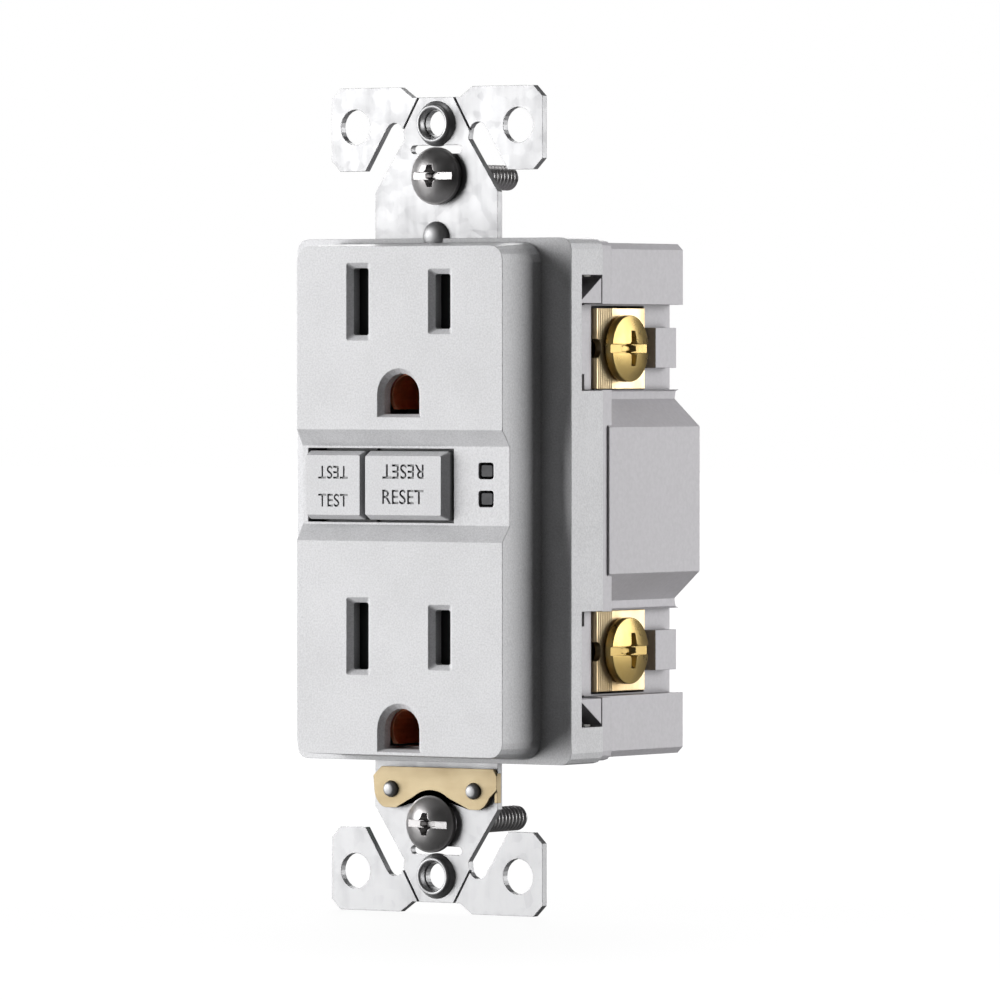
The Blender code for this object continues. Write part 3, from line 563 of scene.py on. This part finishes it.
# %% From a grid to a mesh
def shell(name, points, smooth=30.0):
    """A mesh from a closed grid whose last column meets the first; poles and doubles are merged."""
    rows, columns = points.shape[:2]
    faces = grid_faces(rows, columns, wrap=True)
    mesh = bpy.data.meshes.new(name)
    mesh.from_pydata((points.reshape(-1, 3) * MM).tolist(), [], faces.tolist())
    work = bmesh.new()
    work.from_mesh(mesh)
    bpy.data.meshes.remove(mesh)
    bmesh.ops.remove_doubles(work, verts=work.verts, dist=1e-6)
    bmesh.ops.dissolve_degenerate(work, edges=work.edges, dist=1e-7)
    bmesh.ops.recalc_face_normals(work, faces=work.faces)
    mesh = bpy.data.meshes.new(name)
    work.to_mesh(mesh)
    work.free()
    mesh.shade_smooth()
    mesh.set_sharp_from_angle(angle=math.radians(smooth))
    piece = bpy.data.objects.new(name, mesh)
    scene.collection.objects.link(piece)
    return piece


print("eight sides and three rows make", len(grid_faces(3, 8, wrap=True)), "quads")


# %% Cutting and dressing a piece
def carve(piece, *cutters, operation="DIFFERENCE", smooth=30.0):
    """Cuts the cutters out of a piece, or joins them to it, and removes them."""
    for cutter in cutters:
        step = piece.modifiers.new("carve", "BOOLEAN")
        step.operation, step.object, step.solver = operation, cutter, "EXACT"
    graph = bpy.context.evaluated_depsgraph_get()
    carved = bpy.data.meshes.new_from_object(piece.evaluated_get(graph))
    piece.modifiers.clear()
    piece.data = carved
    if smooth:
        carved.shade_smooth()
        carved.set_sharp_from_angle(angle=math.radians(smooth))
    else:
        carved.shade_flat()
    for cutter in cutters:
        bpy.data.objects.remove(cutter)


def dressed(piece, node, finish=None):
    """The piece takes the finish, the slot and the body of the CAD node that it stands for."""
    piece.data.materials.clear()
    piece.data.materials.append(FINISHES[finish or slot_of[node]])
    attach(piece, body_of[node])
    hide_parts(node)
    print(piece.name, len(piece.data.polygons), "faces, rides on", body_of[node])


print("slots to choose from:", sorted(set(slot_of.values())))


# %% [markdown]
# ## Screws
#
# The box screws and the terminal screws are combination screws: a domed head with one long slot
# across it and a cross recess in the middle, so that either driver fits. The head is turned on
# a lathe, and the recess is cut with two tapered prisms, as the real punch does. The thread is
# a surface of its own: its radius depends on how far a point is along the axis and round it.


# %% Kinds of screw
# Each kind: head (radius, height, rim), slot (half width, depth), recess (size, arm, depth) and
# thread (radius, pitch, depth), all in millimetres. 32 threads to the inch are 0.794 mm apart.
SCREWS = {
    "box": ((3.7, 2.2, 0.75), (0.5, 1.0), (1.6, 0.42, 1.9), (1.65, 0.794, 0.34)),
    "terminal": ((4.3, 1.8, 1.2), (0.6, 0.9), (2.5, 0.5, 1.6), (2.0, 0.794, 0.3)),
    "ground": ((3.0, 2.0, 0.8), (0.5, 0.9), (1.4, 0.32, 1.6), (1.95, 0.794, 0.3)),
    "housing": ((2.3, 1.6, 0.9), (0.32, 0.6), (1.25, 0.3, 1.1), (1.1, 0.7, 0.18)),
}
SLOT_TAPER, RECESS_TAPER, OVER, THREAD_START = 0.96, 0.45, 0.05, 0.1
for kind, (head, *_) in SCREWS.items():
    print(kind, "head across", 2 * head[0], "mm")


# %% Head, thread and recess
def dome_profile(radius, height, rim, lip=0.12, steps=14):
    """Side of a domed head: a rounded rim of that height, then an arc up to the top."""
    corner = np.linspace(0, math.pi / 2, 5)[:-1]
    edge = np.stack([radius - lip + lip * np.cos(corner), rim - lip + lip * np.sin(corner)], -1)
    across = np.linspace(radius - lip, 0, steps)
    crown = rim + (height - rim) * (1 - (across / (radius - lip)) ** 2)
    top = np.stack([across, crown], -1)
    return np.concatenate([[[0, 0], [radius - lip, 0], [radius, lip]], edge, top])


def thread(radius, pitch, depth, start, length, tip=1.2, sides=36, per_turn=10):
    """A screw thread from height start downwards.

    The radius is the core plus depth times a ridge, where the ridge is a triangle wave of
    height / pitch - angle / turn. The last stretch, tip, narrows to a blunt end.
    """
    rows = int(length / pitch * per_turn)
    down = np.linspace(0, length, rows)[:, None]
    angle = np.linspace(0, TURN, sides, endpoint=False)[None]
    phase = (down / pitch - angle / TURN) % 1.0
    ridge = np.clip((1 - np.abs(2 * phase - 1)) * 1.25, 0, 1)
    fade = np.clip((length - down) / tip, 0, 1)
    r = (radius - depth + depth * ridge * fade) * (0.55 + 0.45 * fade**0.5)
    body = np.stack([r * np.cos(angle), r * np.sin(angle), start - down + 0 * angle], -1)
    ends = np.zeros((2, 1, sides, 3))
    ends[0, ..., 2], ends[1, ..., 2] = start, start - length
    return np.concatenate([ends[0], body, ends[1]])


def cross(size, arm, notch=0.42):
    """Outline of a cross recess with arms of that half width and small fillets between them."""
    far, near = arm + notch, arm + notch * 0.4
    quarter = np.array([(size, -arm), (size, arm), (far, near), (near, far)])
    turns = np.arange(4) * math.pi / 2
    cos, sin = np.cos(turns)[:, None], np.sin(turns)[:, None]
    x, y = quarter[:, 0][None], quarter[:, 1][None]
    return np.stack([x * cos - y * sin, x * sin + y * cos], -1).reshape(-1, 2)


print("a cross has", len(cross(1.6, 0.42)), "corners")


# %% A whole screw
def combination_screw(name, node, centre, outward, kind, length, turn, finish=None):
    """A domed screw of a kind in SCREWS, with that length of thread, its slot turned by turn."""
    head, slot, recess, threads = SCREWS[kind]
    radius, height, rim = head
    piece = shell(name, stood(lathe(dome_profile(radius, height, rim), 72), centre, outward))
    half, depth = slot
    bar = [(radius + 1, -half), (radius + 1, half), (-radius - 1, half), (-radius - 1, -half)]
    size, arm, deep = recess
    marks = [
        prism(bar, height - depth, height + 1, SLOT_TAPER),
        prism(cross(size, arm), height - deep, height + OVER, RECESS_TAPER),
        prism(cross(size, arm), height + OVER - 1e-3, height + 1, 1.0),
    ]
    c, s = math.cos(turn), math.sin(turn)
    cutters = []
    for index, mark in enumerate(marks):
        x, y = mark[..., 0].copy(), mark[..., 1].copy()
        mark[..., 0], mark[..., 1] = x * c - y * s, x * s + y * c
        cutters.append(shell(f"{name}_cutter_{index}", stood(mark, centre, outward)))
    carve(piece, *cutters)
    grooved = thread(*threads, THREAD_START, length)
    core = shell(name + "_thread", stood(grooved, centre, outward), smooth=40.0)
    both = bmesh.new()
    both.from_mesh(piece.data)
    both.from_mesh(core.data)
    both.to_mesh(piece.data)
    both.free()
    bpy.data.objects.remove(core)
    dressed(piece, node, finish)


def middle(node):
    """Centre of a CAD node's box, in millimetres."""
    low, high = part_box(node)
    return (np.array(low) + np.array(high)) / 2 / MM


def head_height(kind):
    """How far a head of that kind stands above its seat, in millimetres."""
    return SCREWS[kind][0][1]


print("a box screw's head stands", head_height("box"), "mm high")

# %% Box screws, terminal screws and the ground screw
TERMINAL_THREAD, GROUND_THREAD = 4.0, 6.4
for side, turn, longer in (("upper", 0.0, -1.6), ("lower", -0.03, 1.7)):
    node = side + "_mounting_screw"
    low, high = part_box(node)
    x, _, z = middle(node)
    seat = (x, low[1] / MM + head_height("box"), z)
    length = (high[1] - low[1]) / MM - head_height("box") + longer
    combination_screw(node + "_6_32", node, seat, "-Y", "box", length, turn, "screw_steel")
for role in ("line", "load"):
    for pole, sign in (("hot", 1), ("neutral", -1)):
        node = f"{role}_{pole}_terminal_screw"
        low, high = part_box(node)
        _, y, z = middle(node)
        reach = max(abs(low[0]), abs(high[0])) / MM
        combination_screw(
            node + "_8_32",
            node,
            (sign * (reach - head_height("terminal")), y, z),
            "+X" if sign > 0 else "-X",
            "terminal",
            TERMINAL_THREAD,
            0.0 if sign > 0 else 0.4,
            "screw_brass" if pole == "hot" else "nickel",
        )
low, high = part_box("ground_screw")
_, y, z = middle("ground_screw")
seat = (low[0] / MM + head_height("ground"), y, z)
combination_screw("ground_screw_8_32", "ground_screw", seat, "-X", "ground", GROUND_THREAD, 0.7)

# %% [markdown]
# ## Pressure plates
#
# Under each terminal screw head lies a small brass plate that presses the bare wire down. Its
# front end has fine teeth across it, so the wire can't slip, and a half-round notch that guides
# the wire in. The toothed section is one outline, swept from the lower edge to the upper edge.


# %% Toothed plates
TOOTH, TEETH, TOOTH_DEPTH = 0.42, 9, 0.13
TEETH_START, NOTCH_RADIUS = 0.35, 1.25


def plate_outline(sign, inner, outer, front, back):
    """Section of the plate in X and Y: flat behind, with a zigzag of teeth at its front end."""
    ridge = front + TEETH_START + TOOTH * np.arange(TEETH)[:, None] + np.array([[0.0, TOOTH / 2]])
    depth = np.tile([0.0, TOOTH_DEPTH], (TEETH, 1))
    teeth = np.stack([sign * (outer - depth.ravel()), ridge.ravel()], -1)
    start = [(sign * (outer - 0.15), front), (sign * outer, front + 0.15)]
    end = [(sign * outer, back - 0.2), (sign * (outer - 0.2), back)]
    return np.concatenate([start, teeth, end, [(sign * inner, back), (sign * inner, front)]])


for role in ("line", "load"):
    for pole, sign in (("hot", 1), ("neutral", -1)):
        node = f"{role}_{pole}_pressure_plate"
        low, high = np.array(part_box(node)) / MM
        inner, outer = sorted((abs(low[0]), abs(high[0])))
        outline = plate_outline(sign, inner, outer, low[1], high[1])
        shift = np.array([sign * (inner + outer) / 2, (low[1] + high[1]) / 2])
        points = prism(outline - shift, low[2], high[2])
        points[..., :2] += shift
        plate = shell(node + "_toothed", points, smooth=20.0)
        notch = shell(
            node + "_notch",
            stood(
                lathe([(0, -3), (NOTCH_RADIUS, -3), (NOTCH_RADIUS, 3), (0, 3)], 40),
                (sign * outer, low[1] + 0.1, (low[2] + high[2]) / 2),
                "+X",
            ),
        )
        carve(plate, notch, smooth=20.0)
        dressed(plate, node)

# %% [markdown]
# ## Words on the buttons
#
# Each button says what it does, engraved twice, so that one row is upright whichever way up the
# outlet is mounted. The cap is a stack of rounded outlines, with sloping bevels round a flat top
# and a wider lip behind that stops it in its window. A font curve is made a mesh, given a depth,
# and cut out of the cap. An image or a bump could draw the letters flat, but cut letters catch
# real shadows. The reset cap is hollow behind, to hold its spring and its pin.


# %% The cap of a button
def rounded_outline(left, right, low, high, radius, steps=5):
    """A rectangle with round corners, given as its four sides."""
    corners = [
        (right - radius, low + radius, -90),
        (right - radius, high - radius, 0),
        (left + radius, high - radius, 90),
        (left + radius, low + radius, 180),
    ]
    return np.concatenate(
        [arc_points((x, z), radius, start, start + 90, steps) for x, z, start in corners]
    )


BEVEL_DEPTH, LIP_DEPTH, CAP_DEPTH = 0.95, 3.5, 4.2
LIP_OVERHANG, LIP_LEFT_LIMIT = 1.1, -14.0
TOP_CORNER, SIDE_CORNER = 0.18, 0.3


def button_cap(name, left, right, low, high, front, bevels):
    """A cap of stacked outlines: a flat top, sloping bevels, straight sides and a wider back lip.

    bevels is how much narrower the top is at the left, the right and both ends; each row of the
    surface is one outline at one depth, and the first and last rows shrink to a point.
    """
    left_bevel, right_bevel, end_bevel = bevels
    top = rounded_outline(
        left + left_bevel, right - right_bevel, low + end_bevel, high - end_bevel, TOP_CORNER
    )
    side = rounded_outline(left, right, low, high, SIDE_CORNER)
    lip_low, lip_high = low - LIP_OVERHANG, high + LIP_OVERHANG
    lip = rounded_outline(max(left, LIP_LEFT_LIMIT), right, lip_low, lip_high, SIDE_CORNER)
    layers = [(top, 0.0), (side, BEVEL_DEPTH), (side, LIP_DEPTH), (lip, LIP_DEPTH), (lip, CAP_DEPTH)]
    layers = [(top * 0 + top.mean(0), 0.0), *layers, (lip * 0 + lip.mean(0), CAP_DEPTH)]
    rows = [np.stack([o[:, 0], front + d + 0 * o[:, 0], o[:, 1]], -1) for o, d in layers]
    return shell(name, np.array(rows), smooth=25.0)


print("a rounded rectangle has", len(rounded_outline(0, 9, 0, 9, 0.3)), "points")


# %% Letters to cut
LETTER_DEPTH, LETTER_WEIGHT = 0.3, 0.004


def letters(text, height, width, centre, upside_down):
    """A word as a solid that stands across the face, width and height in mm, centred there."""
    curve = bpy.data.curves.new(text, "FONT")
    curve.body = text
    curve.align_x, curve.align_y = "CENTER", "CENTER"
    curve.extrude = 0.5
    curve.offset = LETTER_WEIGHT
    flat = bpy.data.objects.new(text, curve)
    scene.collection.objects.link(flat)
    graph = bpy.context.evaluated_depsgraph_get()
    mesh = bpy.data.meshes.new_from_object(flat.evaluated_get(graph))
    bpy.data.objects.remove(flat)
    points = np.empty(len(mesh.vertices) * 3)
    mesh.vertices.foreach_get("co", points)
    points = points.reshape(-1, 3)
    low, high = points.min(0), points.max(0)
    points = (points - (low + high) / 2) / (high - low) * np.array([width, height, 2 * LETTER_DEPTH])
    sign = -1.0 if upside_down else 1.0
    placed = np.stack([points[:, 0] * sign, -points[:, 2], points[:, 1] * sign], -1) + centre
    mesh.vertices.foreach_set("co", (placed * MM).ravel())
    work = bmesh.new()
    work.from_mesh(mesh)
    bmesh.ops.remove_doubles(work, verts=work.verts, dist=1e-7)
    bmesh.ops.recalc_face_normals(work, faces=work.faces)
    work.to_mesh(mesh)
    work.free()
    piece = bpy.data.objects.new("letters", mesh)
    scene.collection.objects.link(piece)
    return piece


print("letters are cut", LETTER_DEPTH, "mm deep")

# %% Both buttons, engraved
# Each button: its node, word, the word's centre in X, width and height, the Z of its two rows,
# and how far the left, the right and both ends of the cap slope in.
CAP_HALF_HEIGHT = 4.4
POCKETS = ((3.2, -7.6), (1.1, -8.4))
POCKET_BACK = -4
BUTTONS = (
    ("test_button", "TEST", -10.4, 4.6, 1.65, (3.6, 0.0), (0.02, 0.34, 0.55)),
    ("reset_button", "RESET", 0.5, 6.4, 1.85, (3.75, 0.5), (0.02, 0.75, 0.6)),
)
for node, word, x, width, height, rows, bevels in BUTTONS:
    low, high = np.array(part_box(node)) / MM
    face, half = low[1], CAP_HALF_HEIGHT
    middle_z = (low[2] + high[2]) / 2
    piece = button_cap(
        node + "_engraved", low[0], high[0], middle_z - half, middle_z + half, face, bevels
    )
    for z, upside_down in zip(rows, (True, False)):
        carve(piece, letters(word, height, width, (x, face, z), upside_down), smooth=None)
    if node == "reset_button":
        pin_x, _, pin_z = middle("reset_pin")
        hollows = []
        for radius, start in POCKETS:
            profile = [(0, start), (radius, start), (radius, POCKET_BACK), (0, POCKET_BACK)]
            bore = stood(lathe(profile, 48), (pin_x, 0, pin_z), "+Y")
            hollows.append(shell(f"pocket_{radius}", bore))
        carve(piece, *hollows, smooth=None)
    dressed(piece, node, "button")

# %% [markdown]
# ## The brass clip
#
# A thin brass spring clip sits on the lower end of the strap and touches the box screw. It is
# a flat blank with two round lobes about its rivets, a scallop that clears the screw head, and
# a tab folded round the edge of the strap. The blank is an outline swept through its thickness.


# %% Clip and rivets
LEFT_LOBE, RIGHT_LOBE, SCALLOP = 2.65, 2.55, 4.35
BLANK_RIGHT, SHEET, TAB_HALF_HEIGHT, TAB_END = 9.85, 0.5, 1.9, -0.75


def clip_outline():
    """Dog-bone blank: straight top with cut corners, lobes round the rivets, a scallop between."""
    low, high = np.array(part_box("grounding_clip")) / MM
    screw_x, _, screw_z = middle("lower_mounting_screw")
    left, right = middle("left_clip_rivet"), middle("right_clip_rivet")
    return np.concatenate(
        [
            [(low[0] + 1.3, high[2]), (low[0], high[2] - 1.2)],
            arc_points((left[0], left[2]), LEFT_LOBE, 180, 285),
            arc_points((screw_x, screw_z), SCALLOP, 128, 52, 16),
            arc_points((right[0], right[2]), RIGHT_LOBE, 255, 340),
            [(high[0], right[2] + 0.2), (high[0], high[2] - 0.9), (high[0] - 1.0, high[2])],
        ]
    )


low, high = np.array(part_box("grounding_clip")) / MM
outline = clip_outline()
high[0] = BLANK_RIGHT
outline[:, 0] = np.clip(outline[:, 0], low[0], high[0])
outline[:, 1] = np.clip(outline[:, 1], low[2], high[2])
centre_of = outline.mean(0)
blank = prism(outline - centre_of, 0.0, SHEET)
blank[..., :2] += centre_of
blank_points = np.stack([blank[..., 0], low[1] + SHEET - blank[..., 2], blank[..., 1]], -1)
clip = shell("brass_clip", blank_points)
tab_section = [(-0.2, -1), (0.2, -1), (0.2, 1), (-0.2, 1)] * np.array([1, TAB_HALF_HEIGHT])
fold = prism(tab_section, low[1] + 0.2, TAB_END)
fold_x, fold_z = high[0] - 0.2, (low[2] + high[2]) / 2 + 0.2
tab = shell("clip_tab", np.stack([fold[..., 0] + fold_x, fold[..., 2], fold[..., 1] + fold_z], -1))
HOLE = [(0, -2), (1.08, -2), (1.08, 2), (0, 2)]
holes = []
for side in ("left", "right"):
    x, _, z = middle(side + "_clip_rivet")
    holes.append(shell(f"clip_hole_{side}", stood(lathe(HOLE, 32), (x, low[1], z), "-Y")))
carve(clip, *holes)
carve(clip, tab, operation="UNION")
dressed(clip, "grounding_clip", "clip_brass")

RIVET_HEIGHT = 2.32
RIVET = [(0, 2.3), (0.55, 2.32), (0.8, 2.2), (0.98, 1.95), (1.02, 1.6), (1.02, 0.0), (0.0, 0.0)]
for side in ("left", "right"):
    node = side + "_clip_rivet"
    low, high = np.array(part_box(node)) / MM
    x, _, z = middle(node)
    seat = (x, low[1] + RIVET_HEIGHT, z)
    rivet = shell(node + "_eyelet", stood(lathe(RIVET, 40), seat, "-Y"))
    dressed(rivet, node, "steel")

# %% [markdown]
# ## Pressed details of the strap
#
# The plate-screw holes have a rolled lip, and a round bump is pressed into the strap just above
# the cover. Both are drawn sheet metal, so their sections are smooth curves. The lip is a profile
# turned round the hole, and the bump is half a ball, flattened a little. The CAD's plain collars
# and bump are trimmed off a copy of the strap first. Four grooves let the ears be snapped off;
# they could be dark lines in the finish, but a cut groove keeps its shade from every side.


# %% A copy of the strap, and cutters for it
STRAP_FRONT = -1.0
GROOVE_WIDTH, GROOVE_DEPTH = 0.3, 0.42
GROOVE_START, GROOVE_END = (2.72, 51.9), (5.25, 47.55)
TRIM_ACROSS, TRIM_HEIGHTS = (-3.2, 3.2), ((33.0, 37.0), (45.6, 51.4), (-51.4, -45.6))


def copied(node, name):
    """A copy of a CAD node's mesh with its loose triangles joined."""
    mesh = frame["nodes"][node].data.copy()
    work = bmesh.new()
    work.from_mesh(mesh)
    bmesh.ops.remove_doubles(work, verts=work.verts, dist=1e-6)
    bmesh.ops.dissolve_limit(
        work, angle_limit=math.radians(0.5), verts=work.verts, edges=work.edges
    )
    work.to_mesh(mesh)
    work.free()
    piece = bpy.data.objects.new(name, mesh)
    scene.collection.objects.link(piece)
    return piece


def block(name, corners, first, last):
    """A block with those corners in X and Z that goes from depth first to depth last, as a cutter."""
    corners = np.array(corners, float)
    centre = corners.mean(0)
    points = prism(corners - centre, first, last)
    flat = points[..., :2] + centre
    return shell(name, np.stack([flat[..., 0], points[..., 2], flat[..., 1]], -1))


def groove(start, end):
    """A narrow cutter along a line on the strap's front, from start to end."""
    start, end = np.array(start, float), np.array(end, float)
    along = (end - start) / np.linalg.norm(end - start)
    across = np.array([-along[1], along[0]]) * GROOVE_WIDTH / 2
    corners = [start - across, end - across, end + across, start + across]
    return block("groove", corners, STRAP_FRONT - 1.5, STRAP_FRONT + GROOVE_DEPTH)


def trim(x, z):
    """A cutter in front of the strap's face that takes away the plain CAD collars and bump."""
    corners = [(x[0], z[0]), (x[1], z[0]), (x[1], z[1]), (x[0], z[1])]
    return block("trim", corners, -4.0, STRAP_FRONT)


print("grooves", GROOVE_WIDTH, "mm wide and", GROOVE_DEPTH, "mm deep")

# %% The strap with its break-off grooves
strap = copied("strap", "pressed_strap")
trims = [trim(TRIM_ACROSS, z) for z in TRIM_HEIGHTS]
grooves = [
    groove((sx * GROOVE_START[0], sz * GROOVE_START[1]), (sx * GROOVE_END[0], sz * GROOVE_END[1]))
    for sx in (-1, 1)
    for sz in (-1, 1)
]
carve(strap, *trims, *grooves, smooth=None)
dressed(strap, "strap")

# %% Rolled lips and the bump
PLATE_SCREW_Z = 48.41
BUMP_RADIUS, BUMP_HEIGHT, BUMP_Z = 1.95, 1.2, 33.9
LIP = np.concatenate(
    [
        [(2.95, -0.02), (2.62, 0.35), (2.5, 0.7)],
        arc_points((2.2, 0.75), 0.3, 0, 180, 8),
        [(1.86, 0.5), (1.8, 0.0), (1.8, -0.9), (2.1, -0.95), (2.95, -0.5), (2.95, -0.02)],
    ]
)


def pressed(piece):
    """Steel details ride with the strap and share its finish."""
    piece.data.materials.append(FINISHES["steel"])
    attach(piece, body_of["strap"])
    print(piece.name, len(piece.data.polygons), "faces")


for side, sign in (("upper", 1), ("lower", -1)):
    centre = (0.0, STRAP_FRONT, sign * PLATE_SCREW_Z)
    pressed(shell(side + "_rolled_lip", stood(lathe(LIP, 64), centre, "-Y"), smooth=50.0))

steps = np.linspace(0, math.pi / 2, 12)
ball = np.stack([BUMP_RADIUS * np.sin(steps), BUMP_HEIGHT * np.cos(steps)], -1)
ball = np.concatenate([ball, [[BUMP_RADIUS, -0.4], [0.0, -0.4]]])
dome = stood(lathe(ball, 56), (0.0, STRAP_FRONT, BUMP_Z), "-Y")
pressed(shell("upper_bump", dome, smooth=50.0))

# %% [markdown]
# ## Springs and windings
#
# The works hide four springs and a coil. A spring is a round wire carried along a helix. The coil
# on the solenoid is many turns of thin enamelled wire. A helix that long would be heavy, so its
# outline is a row of bulges, turned round the axis.


# %% Springs
def spring(length, radius, wire, turns, sides=8, per_turn=20):
    """Round wire on a helix: centre R cos t, R sin t, rise; the wire's circle lies across it."""
    t = np.linspace(0, TURN * turns, int(turns * per_turn))[:, None]
    v = np.linspace(0, TURN, sides, endpoint=False)[None]
    rise = wire + (length - 2 * wire) * t / t[-1]
    out = radius + wire * np.cos(v)
    coil = np.stack([out * np.cos(t), out * np.sin(t), rise + wire * np.sin(v)], -1)
    ends = coil.mean(1, keepdims=True) + 0 * coil
    return np.concatenate([ends[:1], coil, ends[-1:]])


# Each spring: its axis number and direction, a joint and that joint's travel, the radius of the
# helix and of the wire, and the number of turns.
SPRINGS = (
    ("reset_spring", 1, "+Y", "reset_press", 2.8, 2.3, 0.25, 4),
    ("plunger_spring", 2, "+Z", "plunger_stroke", 3.0, 2.12, 0.25, 5),
    ("upper_shutter_spring", 0, "+X", "upper_shutter_slide", 3.2, 0.62, 0.16, 8),
    ("lower_shutter_spring", 0, "+X", "lower_shutter_slide", 3.2, 0.62, 0.16, 8),
)
for node, axis, outward, joint, travel, radius, wire, turns in SPRINGS:
    low, high = np.array(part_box(node)) / MM
    centre = (low + high) / 2
    centre[axis] = low[axis]
    length = high[axis] - low[axis]
    piece = shell(node + "_wire", stood(spring(length, radius, wire, turns), centre, outward))
    dressed(piece, node, "screw_steel")
    anchor = centre.copy()
    anchor[axis] = high[axis]
    keep = (length - travel) / length
    (anchor * MM).tolist()
    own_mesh(piece)

# %% The solenoid coil
low, high = np.array(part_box("solenoid_winding")) / MM
centre, length, outer = (low + high) / 2, high[2] - low[2], (high[0] - low[0]) / 2
WIRE, INNER = 0.4, 2.4
along = np.linspace(0, length, int(length / WIRE) * 6 + 1)
bulge = outer - WIRE / 2 + WIRE / 2 * np.abs(np.sin(math.pi * along / WIRE)) ** 0.6
inside = [(INNER, length), (INNER, length / 2), (INNER, 0)]
ring = np.concatenate([[(INNER, 0)], np.stack([bulge, along], -1), inside])
coil_place = (centre[0], centre[1], low[2])
winding = shell("wound_coil", stood(lathe(ring, 48), coil_place, "+Z"), smooth=60.0)
dressed(winding, "solenoid_winding")

# %% [markdown]
# ## Housing screws
#
# Four long screws come in from the back and hold the cover to the rear housing. They use the
# same screw function as the others, so the rear of the outlet bears a close look too. The CAD's
# plain heads would do for the front view, where none of them shows.


# %% Housing screws
HOUSING_SCREW_TURN, THREAD_END_GAP = 0.5, 1.7
for vertical in ("upper", "lower"):
    for across in ("left", "right"):
        node = f"{vertical}_{across}_housing_screw"
        low, high = np.array(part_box(node)) / MM
        x, _, z = middle(node)
        combination_screw(
            node + "_long",
            node,
            (x, high[1] - head_height("housing"), z),
            "+Y",
            "housing",
            high[1] - low[1] - THREAD_END_GAP,
            HOUSING_SCREW_TURN,
            "screw_steel",
        )

# %% [markdown] ## The end
# The dressed model has to stay inside the box of the mechanical model.
